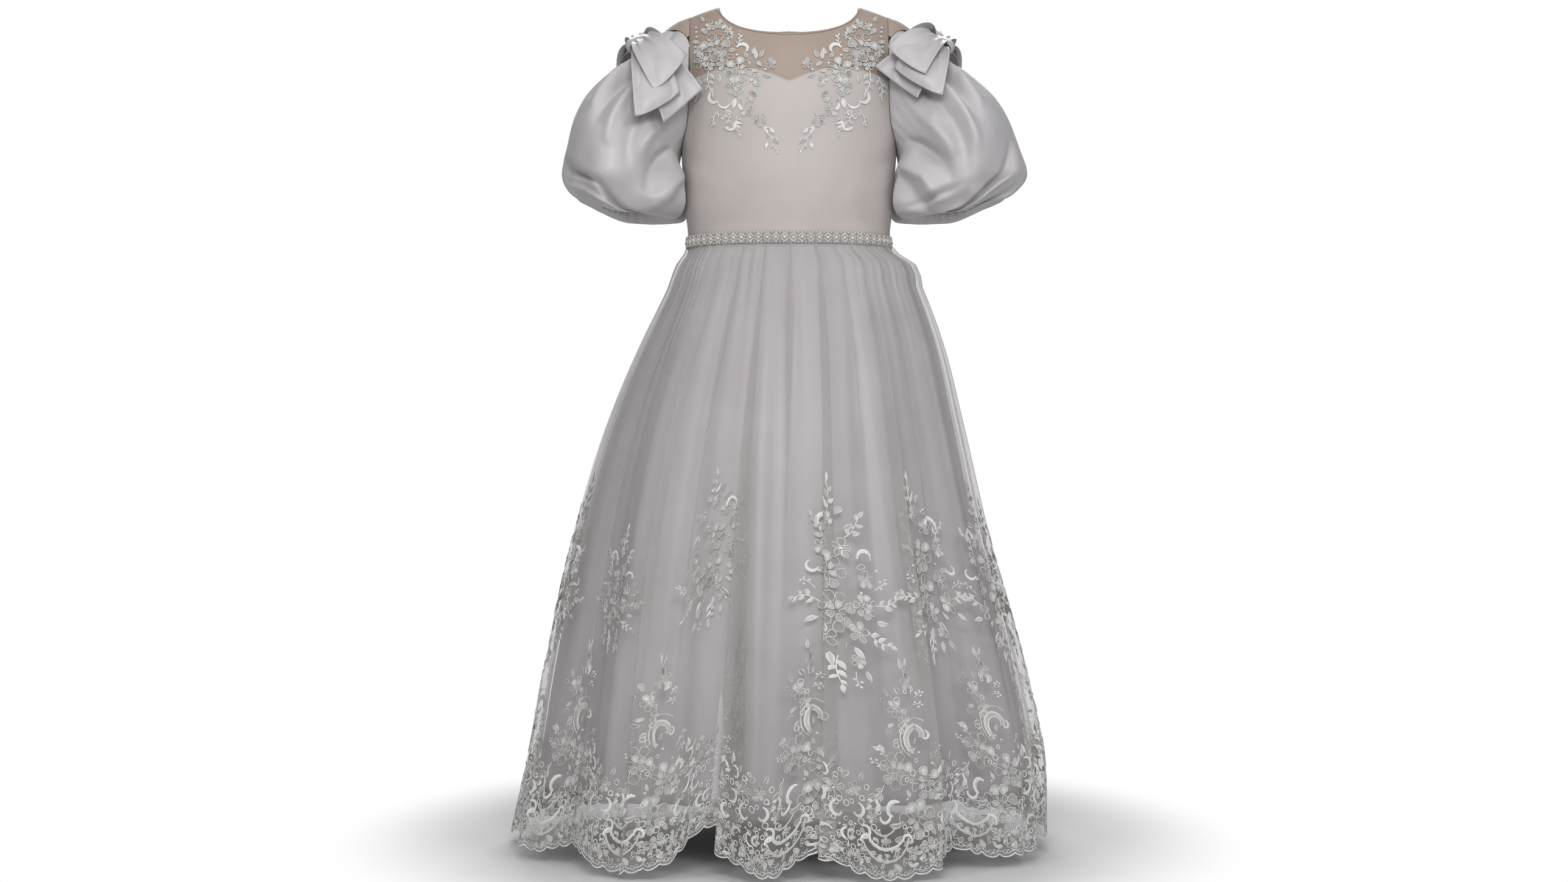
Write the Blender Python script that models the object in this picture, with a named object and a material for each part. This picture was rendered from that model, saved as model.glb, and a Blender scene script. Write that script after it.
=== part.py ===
"""A girl's communion dress, filled out with no wearer: a satin bodice under a sheer yoke, bubble
sleeves with shoulder bows, and a gathered sheer overskirt over a satin underskirt.

Metres, +Z up, the front towards -Y. The origin is midway between the two neck points, where the
shoulders carry the dress. Left and right are the wearer's: left is +X.
"""

import math

import bmesh
import bpy
from mathutils import Matrix, Vector

# Cloth
SATIN_WALL = 0.0014
SHEER_WALL = 0.0010
LACE_WALL = 0.0010
SEAM_GAP = 0.0003

# Body form
CHEST_Z = -0.140
UNDERARM_Z = -0.165
WAIST_Z = -0.271
NECK_HALF_WIDTH = 0.081
NECK_FRONT_DROP = 0.042
NECK_BACK_DROP = 0.016
NECK_POWER = 2.2
SHOULDER_RISE = 0.0118
SHOULDER_FALL = 1.8
SECTION_POWER = 2.3
ARMHOLE_TURN = 64.0
ARMHOLE_STRAIGHT_LEVEL = 0.85
BACK_SATIN_TOP_Z = -0.088

# z, half width, front depth, back depth
TORSO = (
    (CHEST_Z, 0.1245, 0.0875, 0.0815),
    (UNDERARM_Z, 0.1238, 0.0880, 0.0830),
    (-0.200, 0.1212, 0.0878, 0.0826),
    (-0.235, 0.1190, 0.0860, 0.0812),
    (-0.256, 0.1162, 0.0838, 0.0796),
    (WAIST_Z, 0.1155, 0.0830, 0.0790),
)

# Top edge of the satin front: distance from centre, z
SWEETHEART = (
    (0.0, -0.0962),
    (0.0175, -0.0885),
    (0.034, -0.0832),
    (0.0487, -0.0808),
    (0.066, -0.0792),
    (0.085, -0.0820),
    (0.115, -0.0905),
)

# Skirt sections: z, half width to the left and to the right, front depth, back depth
SKIRT = (
    (WAIST_Z, 0.1155, 0.1155, 0.0830, 0.0790),
    (-0.2790, 0.1163, 0.1160, 0.0838, 0.0798),
    (-0.2880, 0.1340, 0.1232, 0.0935, 0.0895),
    (-0.3270, 0.1540, 0.1400, 0.1125, 0.1085),
    (-0.3830, 0.1750, 0.1674, 0.1340, 0.1290),
    (-0.4700, 0.1970, 0.2048, 0.1617, 0.1545),
    (-0.6000, 0.2271, 0.2451, 0.1946, 0.1861),
    (-0.7610, 0.2715, 0.2805, 0.2280, 0.2190),
    (-0.8500, 0.2905, 0.2965, 0.2400, 0.2310),
    (-0.9430, 0.2934, 0.3166, 0.2500, 0.2410),
)
SKIRT_POWER = 2.05
UNDERSKIRT_HEM_Z = -0.885
UNDERSKIRT_ROWS = (0, 1, 2, 3, 5, 6)
UNDERSKIRT_GAP = 0.0007
UNDERSKIRT_INSET = 0.020
UNDERSKIRT_FOLD_SHARE = 0.5

# The skirt's largest folds: turn from centre front in degrees, half spread in degrees,
# reach outwards at the hem (a valley is negative), rise of the hem edge at the fold
FOLDS = (
    (-170, 15, 0.010, 0.000),
    (-150, 12, -0.020, 0.010),
    (-128, 14, 0.010, -0.004),
    (-106, 11, -0.016, 0.008),
    (-78, 11, -0.014, 0.006),
    (-52, 10, -0.017, 0.008),
    (-33, 14, 0.010, -0.005),
    (-15, 9, -0.034, 0.026),
    (-5, 8, 0.006, -0.006),
    (5, 9, -0.016, 0.014),
    (22, 15, 0.012, -0.008),
    (40, 10, -0.019, 0.012),
    (56, 11, 0.008, -0.004),
    (72, 10, -0.014, 0.006),
    (96, 12, -0.016, 0.008),
    (118, 13, 0.010, -0.004),
    (140, 12, -0.018, 0.010),
    (160, 12, 0.008, 0.000),
)

# Bubble sleeve sections from the armhole to the band: outer x on the right and on the left,
# outer z, inner x, inner z, half depth
SLEEVE = (
    (0.150, 0.150, -0.034, 0.1245, -0.1655, 0.050),
    (0.176, 0.175, -0.058, 0.1256, -0.1780, 0.072),
    (0.206, 0.204, -0.077, 0.1258, -0.1900, 0.088),
    (0.233, 0.235, -0.105, 0.1258, -0.2030, 0.098),
    (0.249, 0.257, -0.140, 0.1256, -0.2150, 0.103),
    (0.256, 0.270, -0.190, 0.1252, -0.2320, 0.101),
    (0.246, 0.252, -0.228, 0.1310, -0.2430, 0.085),
    (0.229, 0.231, -0.238, 0.1430, -0.2445, 0.068),
    (0.219, 0.220, -0.233, 0.1520, -0.2370, 0.053),
    (0.216, 0.217, -0.223, 0.1540, -0.2250, 0.047),
)
SLEEVE_POWER = 2.25
CAP_WIDTH = 0.040
CAP_HALF_TURN = 78.0
CAP_END_TURN = 72.0
CUFF_HEIGHT = 0.012

# Largest creases of the sleeves: side, then turn and section at each end, half spread, depth
SLEEVE_CREASES = (
    (-1, 60, 5.0, 30, 7.4, 0.60, 0.012),
    (-1, 135, 2.2, 90, 6.2, 0.65, 0.010),
    (-1, 225, 2.0, 285, 6.2, 0.65, 0.011),
    (1, 120, 6.4, 30, 4.2, 0.65, 0.014),
    (1, 135, 2.0, 105, 5.0, 0.65, 0.010),
    (1, 225, 2.2, 300, 6.0, 0.65, 0.011),
)

# Belt
BELT_HALF_HEIGHT = 0.0074
BELT_WALL = 0.0016
BELT_CLEARANCE = 0.0015

# Neck binding
BINDING_WIDTH = 0.0030
BINDING_WALL = 0.0018

# Lace on the shoulders and bodice: z, edge towards the centre, edge towards the arm
APPLIQUE = (
    (-0.024, 0.082, 0.106),
    (-0.031, 0.068, 0.107),
    (-0.040, 0.056, 0.108),
    (-0.050, 0.045, 0.108),
    (-0.060, 0.036, 0.108),
    (-0.070, 0.028, 0.107),
    (-0.080, 0.022, 0.105),
    (-0.098, 0.030, 0.100),
    (-0.116, 0.036, 0.096),
    (-0.134, 0.040, 0.088),
    (-0.150, 0.026, 0.082),
    (-0.165, 0.018, 0.058),
    (-0.182, 0.012, 0.024),
)
APPLIQUE_SHARES = (0.0, 0.12, 0.26, 0.42, 0.60, 0.80, 1.0)
APPLIQUE_CLEARANCE = 0.0010

# Centre back zip
ZIP_OPENING = 0.0016
ZIP_COIL_WIDTH = 0.0010
ZIP_TAPE_HALF_WIDTH = 0.0090
SLIDER_LEVEL = 0.450
SLIDER_BASE = (0.0070, 0.0100, 0.0016)
SLIDER_EAR = (0.0008, 0.0034, 0.0050)
PIN_RADIUS = 0.0005
PIN_HEIGHT = 0.0039
PULL_EYE_RADIUS = 0.0014
PULL_EYE_BORE = 0.0006
PULL_THICKNESS = 0.0016
PULL_SIDE_GAP = 0.0002
PULL_TAB_WALL = 0.0009
PULL_LENGTH = 0.0180
PULL_HALF_WIDTH = 0.0024
PULL_LEAN = 9.0

# Shoulder bows, as on the left side: hand, piece, layers, tip, half width vector at the tip,
# arch, puff, lift at the knot
BOW_CENTRES = {1: Vector((0.172, -0.026, -0.0472)), -1: Vector((0.169, -0.028, -0.0463))}
BOW = (
    (1, "front_tail", 1, (0.1193, -0.072, -0.0978), (0.0234, -0.010, -0.0193), 0.026, 0.0, -0.0053),
    (1, "front_lower_loop", 2, (0.1420, -0.088, -0.1010), (0.0260, -0.010, -0.0168), 0.032, 0.005, -0.0026),
    (1, "front_upper_loop", 2, (0.1277, -0.088, -0.0763), (0.0201, -0.010, -0.0167), 0.036, 0.009, 0.0032),
    (1, "back_lower_loop", 2, (0.1780, 0.066, -0.0670), (0.0220, 0.006, -0.0140), 0.027, 0.005, -0.0026),
    (1, "back_upper_loop", 2, (0.1640, 0.052, -0.0310), (0.0215, 0.004, -0.0150), 0.022, 0.009, 0.0032),
    (-1, "front_tail", 1, (0.1176, -0.084, -0.1262), (0.0212, -0.012, -0.0205), 0.030, 0.0, -0.0053),
    (-1, "front_lower_loop", 2, (0.1447, -0.102, -0.1291), (0.0240, -0.010, -0.0151), 0.034, 0.005, -0.0026),
    (-1, "front_upper_loop", 2, (0.1300, -0.096, -0.0925), (0.0174, -0.008, -0.0206), 0.040, 0.009, 0.0032),
    (-1, "back_lower_loop", 2, (0.1780, 0.066, -0.0710), (0.0220, 0.006, -0.0140), 0.028, 0.005, -0.0026),
    (-1, "back_upper_loop", 2, (0.1640, 0.050, -0.0380), (0.0200, 0.004, -0.0105), 0.024, 0.009, 0.0032),
)
BOW_WALL = 0.0010
BOW_AXIS = Vector((-0.30, -0.88, -0.34)).normalized()
BOW_UP = Vector((0.30, -0.25, 0.92))
BOW_START_HALF_WIDTH = 0.0100
BOW_LOOP_END = 0.0022
BOW_START_GAP = 0.0005
BOW_UNDERSIDE_SHARE = 0.3
KNOT_RADII = (0.0128, 0.0068)
KNOT_HALF_LENGTH = 0.0090

ACROSS = Vector((1, 0, 0))


def clear_scene():
    for thing in list(bpy.data.objects):
        bpy.data.objects.remove(thing, do_unlink=True)


def material(name, color, roughness, metallic=0.0):
    made = bpy.data.materials.new(name)
    made.use_nodes = True
    shader = made.node_tree.nodes["Principled BSDF"]
    shader.inputs["Base Color"].default_value = (*color, 1.0)
    shader.inputs["Roughness"].default_value = roughness
    shader.inputs["Metallic"].default_value = metallic
    return made


def finished(name, mesh_data, finish):
    """Turns a bmesh into a named object of the scene."""
    mesh = bpy.data.meshes.new(name)
    bmesh.ops.recalc_face_normals(mesh_data, faces=mesh_data.faces)
    if mesh_data.calc_volume(signed=True) < 0:
        bmesh.ops.reverse_faces(mesh_data, faces=mesh_data.faces)
    mesh_data.to_mesh(mesh)
    mesh_data.free()
    mesh.materials.append(finish)
    mesh.shade_smooth()
    mesh.set_sharp_from_angle(angle=math.radians(50))
    thing = bpy.data.objects.new(name, mesh)
    bpy.context.scene.collection.objects.link(thing)
    return thing


def cloth_wall(name, columns, rows, point, wall, finish, ring=False):
    """A wall of cloth: point(column, row, out) places the grid of its outer skin at 0 out, then
    the inner skin, with the same facets, at the wall's thickness inwards."""
    mesh = bmesh.new()
    bmesh.ops.create_grid(mesh, x_segments=columns, y_segments=rows, size=0.5)
    column = mesh.verts.layers.int.new("column")
    row = mesh.verts.layers.int.new("row")
    for vert in mesh.verts:
        vert[column] = round((vert.co.x + 0.5) * columns)
        vert[row] = round((vert.co.y + 0.5) * rows)
        if ring:
            turn = math.tau * vert[column] / columns
            vert.co = (math.cos(turn), math.sin(turn), vert[row])
    if ring:
        bmesh.ops.remove_doubles(mesh, verts=mesh.verts, dist=0.0001)
    for vert in mesh.verts:
        vert.co = point(vert[column], vert[row], 0.0)
    bmesh.ops.triangulate(mesh, faces=mesh.faces[:], quad_method="SHORT_EDGE")
    region = bmesh.ops.extrude_face_region(mesh, geom=mesh.faces[:], use_keep_orig=True)
    for part in region["geom"]:
        if isinstance(part, bmesh.types.BMVert):
            part.co = point(part[column], part[row], -wall)
    return finished(name, mesh, finish)


def between(table, at):
    """The table's columns at a value of its first one, which runs up or down the rows."""
    falling = table[0][0] > table[-1][0]
    for first, last in zip(table, table[1:]):
        if (at >= last[0]) if falling else (at <= last[0]):
            break
    share = min(max((at - first[0]) / (last[0] - first[0]), 0.0), 1.0)
    return [start + (end - start) * share for start, end in zip(first[1:], last[1:])]


def rounded(angle, power):
    """Across and along shares of a rounded section at an angle from its front."""
    sine = math.sin(math.radians(angle))
    cosine = math.cos(math.radians(angle))
    across = math.copysign(abs(sine) ** (2 / power), sine)
    along = math.copysign(abs(cosine) ** (2 / power), cosine)
    return across, along


def moved_out(surface, first, second, out, steps):
    """A point of surface(first, second), moved along its normal."""
    along_first = surface(first + steps[0], second) - surface(first - steps[0], second)
    along_second = surface(first, second + steps[1]) - surface(first, second - steps[1])
    return surface(first, second) + along_second.cross(along_first).normalized() * out


# Body form


def shoulder_line(x):
    return SHOULDER_RISE - SHOULDER_FALL * x * x


def torso(turn, level):
    """A point of the bodice: turn in degrees from centre front to centre back at 180, level 0
    along the shoulder, 1 at the chest and 2 at the waist."""
    z = min(CHEST_Z - (level - 1) * (CHEST_Z - WAIST_Z), CHEST_Z)
    half_width, front, back = between(TORSO, z)
    across, along = rounded(turn, SECTION_POWER)
    x = half_width * across
    y = -along * (front if along > 0 else back)
    if level < 1:
        lean = math.radians(90 * level)
        top = shoulder_line(x)
        y *= math.sin(lean)
        z = top - (top - CHEST_Z) * (1 - math.cos(lean))
    return Vector((x, y, z))


def torso_out(turn, level, out):
    return moved_out(torso, turn, level, out, (0.4, 0.01))


def level_at(x, z):
    """The level at which the body form is at this height, at a distance from centre."""
    if z < CHEST_Z:
        return 1 + (CHEST_Z - z) / (CHEST_Z - WAIST_Z)
    top = shoulder_line(x)
    return math.degrees(math.acos(1 - (top - z) / (top - CHEST_Z))) / 90


def turn_at(x, half_width=TORSO[0][1]):
    share = (abs(x) / half_width) ** (SECTION_POWER / 2)
    return math.copysign(math.degrees(math.asin(min(share, 1.0))), x)


UNDERARM_LEVEL = level_at(0, UNDERARM_Z)
NECK_TURN = turn_at(NECK_HALF_WIDTH)


def armhole_turn(level):
    """How far round from centre the armhole cuts the body form at a level."""
    share = (level - ARMHOLE_STRAIGHT_LEVEL) / (UNDERARM_LEVEL - ARMHOLE_STRAIGHT_LEVEL)
    share = min(max(share, 0.0), 1.0)
    return ARMHOLE_TURN + (90 - ARMHOLE_TURN) * (1 - math.sqrt(1 - share**2))


def neck_level(turn, drop):
    """The level of the neck edge, 0 where it meets the shoulder."""
    x = abs(torso(turn, 0).x)
    if x >= NECK_HALF_WIDTH:
        return 0.0
    scoop = (1 - (x / NECK_HALF_WIDTH) ** NECK_POWER) ** (1 / NECK_POWER)
    return level_at(x, -drop * scoop)


def satin_top(turn, front):
    x = abs(torso(turn, 0).x)
    z = between(SWEETHEART, x)[0] if front else BACK_SATIN_TOP_Z
    return level_at(x, z)


FRONT_SHARES = [index / 7 for index in range(-7, 8)]
BACK_SHARES = [0.0, 0.20, 0.40, 0.60, 0.80, 0.90, 1.0]
NECK_SHARE = NECK_TURN / ARMHOLE_TURN
YOKE_SHARES = [0.0, 0.14, 0.28, 0.42, 0.52, NECK_SHARE, 0.72, 0.86, 1.0]
LOWER_Z = [row[0] for row in reversed(TORSO[1:])]
UPPER_SHARES = (0.18, 0.42, 0.70, 1.0)
YOKE_ROWS = 4


def back_share_turn(share, widest):
    """Degrees from centre back, keeping the zip's opening."""
    first = turn_at(ZIP_OPENING / 2)
    return first + (widest - first) * share


def bodice(name, shares, front, hand, finish):
    """A satin panel from the waist to the yoke. Its shares run from the centre to the arm."""

    def point(column, row, out):
        share = shares[column]
        if row < len(LOWER_Z):
            level = level_at(0, LOWER_Z[row])
            if row == 0:
                level -= SEAM_GAP / 2 / (CHEST_Z - WAIST_Z)
        else:
            reach = ARMHOLE_TURN * share
            top = satin_top(reach, front)
            level = UNDERARM_LEVEL + (top - UNDERARM_LEVEL) * UPPER_SHARES[row - len(LOWER_Z)]
        if front:
            turn = armhole_turn(level) * share
        else:
            turn = hand * (180 - back_share_turn(share, armhole_turn(level)))
        place = torso_out(turn, level, out)
        place.y += -SEAM_GAP / 2 if front else SEAM_GAP / 2
        return place

    rows = len(LOWER_Z) + len(UPPER_SHARES) - 1
    return cloth_wall(name, len(shares) - 1, rows, point, SATIN_WALL, finish)


def yoke(name, shares, front, hand, finish):
    """A sheer panel from the satin's top edge to the neck and the shoulder."""

    def point(column, row, out):
        share = shares[column]
        reach = ARMHOLE_TURN * share if front else back_share_turn(share, ARMHOLE_TURN)
        drop = NECK_FRONT_DROP if front else NECK_BACK_DROP
        low = satin_top(reach, front)
        low -= SEAM_GAP / 0.12
        high = neck_level(reach, drop)
        level = low + (high - low) * row / YOKE_ROWS
        turn = reach if front else hand * (180 - reach)
        place = torso_out(turn, level, out)
        place.y += -SEAM_GAP / 2 if front else SEAM_GAP / 2
        return place

    return cloth_wall(name, len(shares) - 1, YOKE_ROWS, point, SHEER_WALL, finish)


def neck_binding(finish):
    """A narrow bound edge round the neck, open at centre back."""
    shares = [share for share in YOKE_SHARES if share <= NECK_SHARE]
    half_front = [(ARMHOLE_TURN * share, NECK_FRONT_DROP) for share in shares[1:]]
    half_back = [(180 - back_share_turn(share, ARMHOLE_TURN), NECK_BACK_DROP) for share in shares[:-1]]
    half = [(0.0, NECK_FRONT_DROP), *half_front, *reversed(half_back)]
    places = [(-turn, drop) for turn, drop in reversed(half[1:])] + half

    def edge(index):
        turn, drop = places[index]
        reach = turn if drop == NECK_FRONT_DROP else 180 - abs(turn)
        level = neck_level(reach, drop)
        return torso(turn, level), torso_out(turn, level, 1.0) - torso(turn, level)

    def point(column, row, out):
        place, normal = edge(column)
        before = edge(max(column - 1, 0))[0]
        after = edge(min(column + 1, len(places) - 1))[0]
        upward = (after - before).cross(normal).normalized()
        upward *= math.copysign(1.0, upward.z)
        lift = out + (BINDING_WALL - SHEER_WALL) / 2
        return place + upward * (SEAM_GAP + 0.0001 + BINDING_WIDTH * row) + normal * lift

    return cloth_wall("neck_binding", len(places) - 1, 1, point, BINDING_WALL, finish)


def applique(name, hand, finish):
    """A lace panel lying on the yoke and the bodice, from the shoulder down to a point."""
    def point(column, row, out):
        z, centre, arm = APPLIQUE[row]
        x = arm + (centre - arm) * APPLIQUE_SHARES[column]
        level = level_at(x, z)
        half_width = between(TORSO, min(z, CHEST_Z))[0]
        turn = hand * turn_at(x, half_width)
        return torso_out(turn, level, APPLIQUE_CLEARANCE + LACE_WALL + out)

    columns = len(APPLIQUE_SHARES) - 1
    return cloth_wall(name, columns, len(APPLIQUE) - 1, point, LACE_WALL, finish)


# Skirt


SKIRT_STEPS = (0.5, 0.002)


def skirt(turn, drop, fold_share=1.0, inset=0.0):
    """A point of the overskirt: turn in degrees from centre front, drop below the waist."""
    z = WAIST_Z - drop
    left, right, front, back = between(SKIRT, z)
    fall = min(max(drop / (WAIST_Z - SKIRT[-1][0]), 0.0), 1.0)
    across, along = rounded(turn, SECTION_POWER + (SKIRT_POWER - SECTION_POWER) * fall**0.5)
    flat = Vector((across * (left if across > 0 else right), -along * (front if along > 0 else back), 0))
    reach = fold_reach(turn)[0] * fall**1.1 * fold_share - inset * fall**0.8
    return flat + flat.normalized() * reach + Vector((0, 0, z))


def underskirt(turn, drop):
    """The overskirt's point above a point of the underskirt, with shallower folds."""
    return skirt(turn, drop, UNDERSKIRT_FOLD_SHARE, UNDERSKIRT_INSET)


def fold_reach(turn):
    """How far the folds carry the hem outwards, and how far they raise its edge."""
    reach = 0.0
    rise = 0.0
    for centre, spread, depth, lift in FOLDS:
        away = abs((turn - centre + 180) % 360 - 180) / spread
        if away < 1:
            swell = math.cos(math.pi / 2 * away) ** 2
            reach += depth * swell
            rise += lift * swell
    return reach, rise


def skirt_panel(name, first_turn, last_turn, finish):
    """A panel of the sheer overskirt, between two turns from centre front."""
    turns = panel_turns(first_turn, last_turn, 2)
    heights = [row[0] for row in SKIRT]

    def point(column, row, out):
        drop = WAIST_Z - heights[row]
        if row == 0:
            drop += SEAM_GAP / 2
        if row == len(heights) - 1:
            drop -= fold_reach(turns[column])[1]
        place = moved_out(skirt, turns[column], drop, out, SKIRT_STEPS)
        return place + seam_shift(first_turn, last_turn)

    return cloth_wall(name, len(turns) - 1, len(heights) - 1, point, SHEER_WALL, finish)


def underskirt_panel(name, first_turn, last_turn, finish):
    """A panel of the satin underskirt, hanging inside the overskirt and shorter than it."""
    turns = panel_turns(first_turn, last_turn, 1)
    heights = [SKIRT[index][0] for index in UNDERSKIRT_ROWS] + [UNDERSKIRT_HEM_Z]

    def point(column, row, out):
        drop = WAIST_Z - heights[row]
        if row == 0:
            drop += SEAM_GAP / 2
        inward = out - SHEER_WALL - UNDERSKIRT_GAP
        place = moved_out(underskirt, turns[column], drop, inward, SKIRT_STEPS)
        return place + seam_shift(first_turn, last_turn)

    return cloth_wall(name, len(turns) - 1, len(heights) - 1, point, SATIN_WALL, finish)


def panel_turns(first_turn, last_turn, steps):
    """The turns of a panel's columns: its seams and the middle of each fold, with the stretch
    from one to the next cut into this many steps."""
    stops = [fold[0] for fold in FOLDS if first_turn + 5 < fold[0] < last_turn - 5]
    stops = [first_turn, *stops, last_turn]
    turns = [first_turn]
    for start, end in zip(stops, stops[1:]):
        turns += [start + (end - start) * (step + 1) / steps for step in range(steps)]
    return turns


def seam_shift(first_turn, last_turn):
    """Half the seam gap, away from the seams at both edges of a panel."""
    middle = math.radians((first_turn + last_turn) / 2)
    across = math.copysign(1.0, math.sin(middle)) if abs(last_turn - first_turn) < 180 else 0.0
    return Vector((across, -math.copysign(1.0, math.cos(middle)), 0)) * SEAM_GAP / 2


def belt(finish):
    """The trim round the waist, over the seam, open at centre back."""
    columns = 36
    first = turn_at(ZIP_OPENING, TORSO[-1][1])

    def point(column, row, out):
        turn = -180 + first + (360 - 2 * first) * column / columns
        place = torso(turn, 2)
        outward = Vector((place.x, place.y * 1.6, 0)).normalized()
        place += outward * (out + BELT_WALL + BELT_CLEARANCE)
        place.z += (1 - 2 * row) * BELT_HALF_HEIGHT
        return place

    return cloth_wall("belt", columns, 1, point, BELT_WALL, finish)


# Sleeves


def armhole(around):
    """The armhole edge on the left side: 0 at the shoulder, 90 in front, 180 under the arm."""
    level = UNDERARM_LEVEL * (1 - math.cos(math.radians(around))) / 2
    turn = armhole_turn(level)
    if around % 360 > 180:
        turn = 180 - turn
    return torso(turn, level)


def cap_edge(around):
    """Where the sheer cap ends and the bubble begins."""
    from_top = abs((around + 180) % 360 - 180)
    share = math.cos(math.radians(90 * min(from_top / CAP_HALF_TURN, 1.0)))
    forward = -0.12 * math.sin(math.radians(around))
    return armhole(around) + Vector((0.88, forward, -0.54)) * CAP_WIDTH * share**1.2


def sleeve(hand):
    """The bubble of one side as a function of the turn round it and the section along it."""

    def surface(around, section):
        section = min(max(section, 0.0), len(SLEEVE) - 1.0)
        first = min(int(section), len(SLEEVE) - 2)
        share = section - first
        ends = [sleeve_ring(hand, around, index) for index in (first, first + 1)]
        place = ends[0].lerp(ends[1], share)
        middle = sleeve_centre(hand, section)
        outward = (place - middle).normalized()
        return place - outward * crease_depth(hand, around % 360, section)

    return surface


def sleeve_centre(hand, section):
    first = min(int(section), len(SLEEVE) - 2)
    right, left, outer_z, inner_x, inner_z, _ = (
        a + (b - a) * (section - first) for a, b in zip(SLEEVE[first], SLEEVE[first + 1])
    )
    outer_x = left if hand > 0 else right
    return Vector(((outer_x + inner_x) / 2, 0, (outer_z + inner_z) / 2))


def sleeve_ring(hand, around, index):
    if index == 0:
        return cap_edge(around) + ACROSS * SEAM_GAP * 1.4
    right, left, outer_z, inner_x, inner_z, half_depth = SLEEVE[index]
    outer_x = left if hand > 0 else right
    depth_share, height_share = rounded(around, SLEEVE_POWER)
    outer = Vector((outer_x, 0, outer_z))
    inner = Vector((inner_x, 0, inner_z))
    middle = (outer + inner) / 2
    return middle + (outer - inner) / 2 * height_share - Vector((0, half_depth * depth_share, 0))


def crease_depth(hand, around, section):
    depth = 0.0
    for side, turn_a, section_a, turn_b, section_b, spread, deep in SLEEVE_CREASES:
        if side != hand:
            continue
        start = Vector((turn_a / 30, section_a))
        line = Vector((turn_b / 30, section_b)) - start
        offset = Vector((around / 30, section)) - start
        share = min(max(offset.dot(line) / line.dot(line), 0.0), 1.0)
        away = (offset - line * share).length / spread
        depth += deep * math.exp(-(away**2)) * math.sin(math.pi * (0.15 + 0.7 * share))
    return depth


def sided(place, hand):
    return Vector((place.x * hand, place.y, place.z))


def bubble_sleeve(name, hand, finish):
    columns = 24
    surface = sleeve(hand)

    def point(column, row, out):
        around = 360 * column / columns
        return sided(moved_out(surface, around, row, -out, (1.0, 0.1)), hand)

    return cloth_wall(name, columns, len(SLEEVE) - 1, point, SATIN_WALL, finish, ring=True)


def sleeve_cap(name, hand, finish):
    """The sheer crescent over the shoulder, between the armhole and the bubble."""
    columns = 10
    rows = 2

    def surface(around, share):
        arch = 0.0022 * math.sin(math.pi * min(max(share, 0.0), 1.0))
        return armhole(around).lerp(cap_edge(around), share) + Vector((0, 0, arch))

    def point(column, row, out):
        around = CAP_END_TURN * (2 * column / columns - 1)
        width = (cap_edge(around) - armhole(around)).length
        trim = 1.5 * SEAM_GAP / width
        share = trim + (1 - 1.2 * trim) * row / rows
        return sided(moved_out(surface, around, share, -out, (1.0, 0.1)), hand)

    return cloth_wall(name, columns, rows, point, SHEER_WALL, finish)


def cuff(name, hand, finish):
    """The band inside the bubble that holds its gathered edge."""
    columns = 16
    last = len(SLEEVE) - 1

    def point(column, row, out):
        around = 360 * column / columns
        place = sleeve_ring(hand, around, last)
        middle = sleeve_centre(hand, last)
        outward = (place - middle).normalized()
        lift = Vector((0, 0, SEAM_GAP + 0.0002 + CUFF_HEIGHT * row))
        return sided(place + outward * (out + 0.0004) + lift, hand)

    return cloth_wall(name, columns, 1, point, SATIN_WALL, finish, ring=True)


# Bows


def bow_frame():
    """The bow's own directions: along its axis to the front, up, and across."""
    up = (BOW_UP - BOW_AXIS * BOW_UP.dot(BOW_AXIS)).normalized()
    return BOW_AXIS, up, up.cross(BOW_AXIS)


def bow_ribbon(name, hand, layers, tip, edge, arch, puff, lift, finish):
    """One ribbon of a bow. A loop runs out from the knot and back; a tail only runs out."""
    tip = Vector(tip)
    edge = Vector(edge)
    axis, bow_up, bow_across = bow_frame()
    bow_across *= math.copysign(BOW_START_HALF_WIDTH, bow_across.dot(edge))
    toward = math.copysign(1.0, axis.dot(tip - BOW_CENTRES[hand]))
    start = BOW_CENTRES[hand] + axis * toward * (KNOT_HALF_LENGTH + BOW_START_GAP) + bow_up * lift
    rise = (tip - start).cross(edge).normalized()
    facing = math.copysign(1.0, rise.dot(bow_up))
    bend = (start + tip) / 2 + rise * facing * arch
    columns = 10 if layers == 2 else 6

    def surface(along, across):
        share = math.sin(math.pi * along) ** 2 if layers == 2 else along
        place = start * (1 - share) ** 2 + bend * 2 * share * (1 - share) + tip * share**2
        width = bow_across * (1 - share**0.8) + edge * share**0.8
        if layers == 2:
            run = (bend - start) * (1 - share) + (tip - bend) * share
            fullness = puff * math.sin(math.pi * along) * (1.0 if along < 0.5 else BOW_UNDERSIDE_SHARE)
            height = math.cos(math.pi * along) * (BOW_LOOP_END + fullness)
            normal = run.cross(width).normalized() * facing
            place += bow_up.lerp(normal, min(4 * share, 1.0)).normalized() * height
        return place + width * across

    def point(column, row, out):
        along = min(max(column / columns, 0.01), 0.99)
        return sided(moved_out(surface, along, row - 1, -out * facing, (0.01, 0.1)), hand)

    return cloth_wall(name, columns, 2, point, BOW_WALL, finish)


def bow_knot(name, hand, finish):
    """The band round the bow's middle."""
    columns = 12
    axis, up, across = bow_frame()

    def point(column, row, out):
        side, height = rounded(360 * column / columns, 2.4)
        place = across * side * (KNOT_RADII[0] + out) + up * height * (KNOT_RADII[1] + out)
        place += axis * KNOT_HALF_LENGTH * (2 * row - 1)
        return sided(BOW_CENTRES[hand] + place, hand)

    return cloth_wall(name, columns, 1, point, BOW_WALL, finish, ring=True)


# Centre back zip


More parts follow.
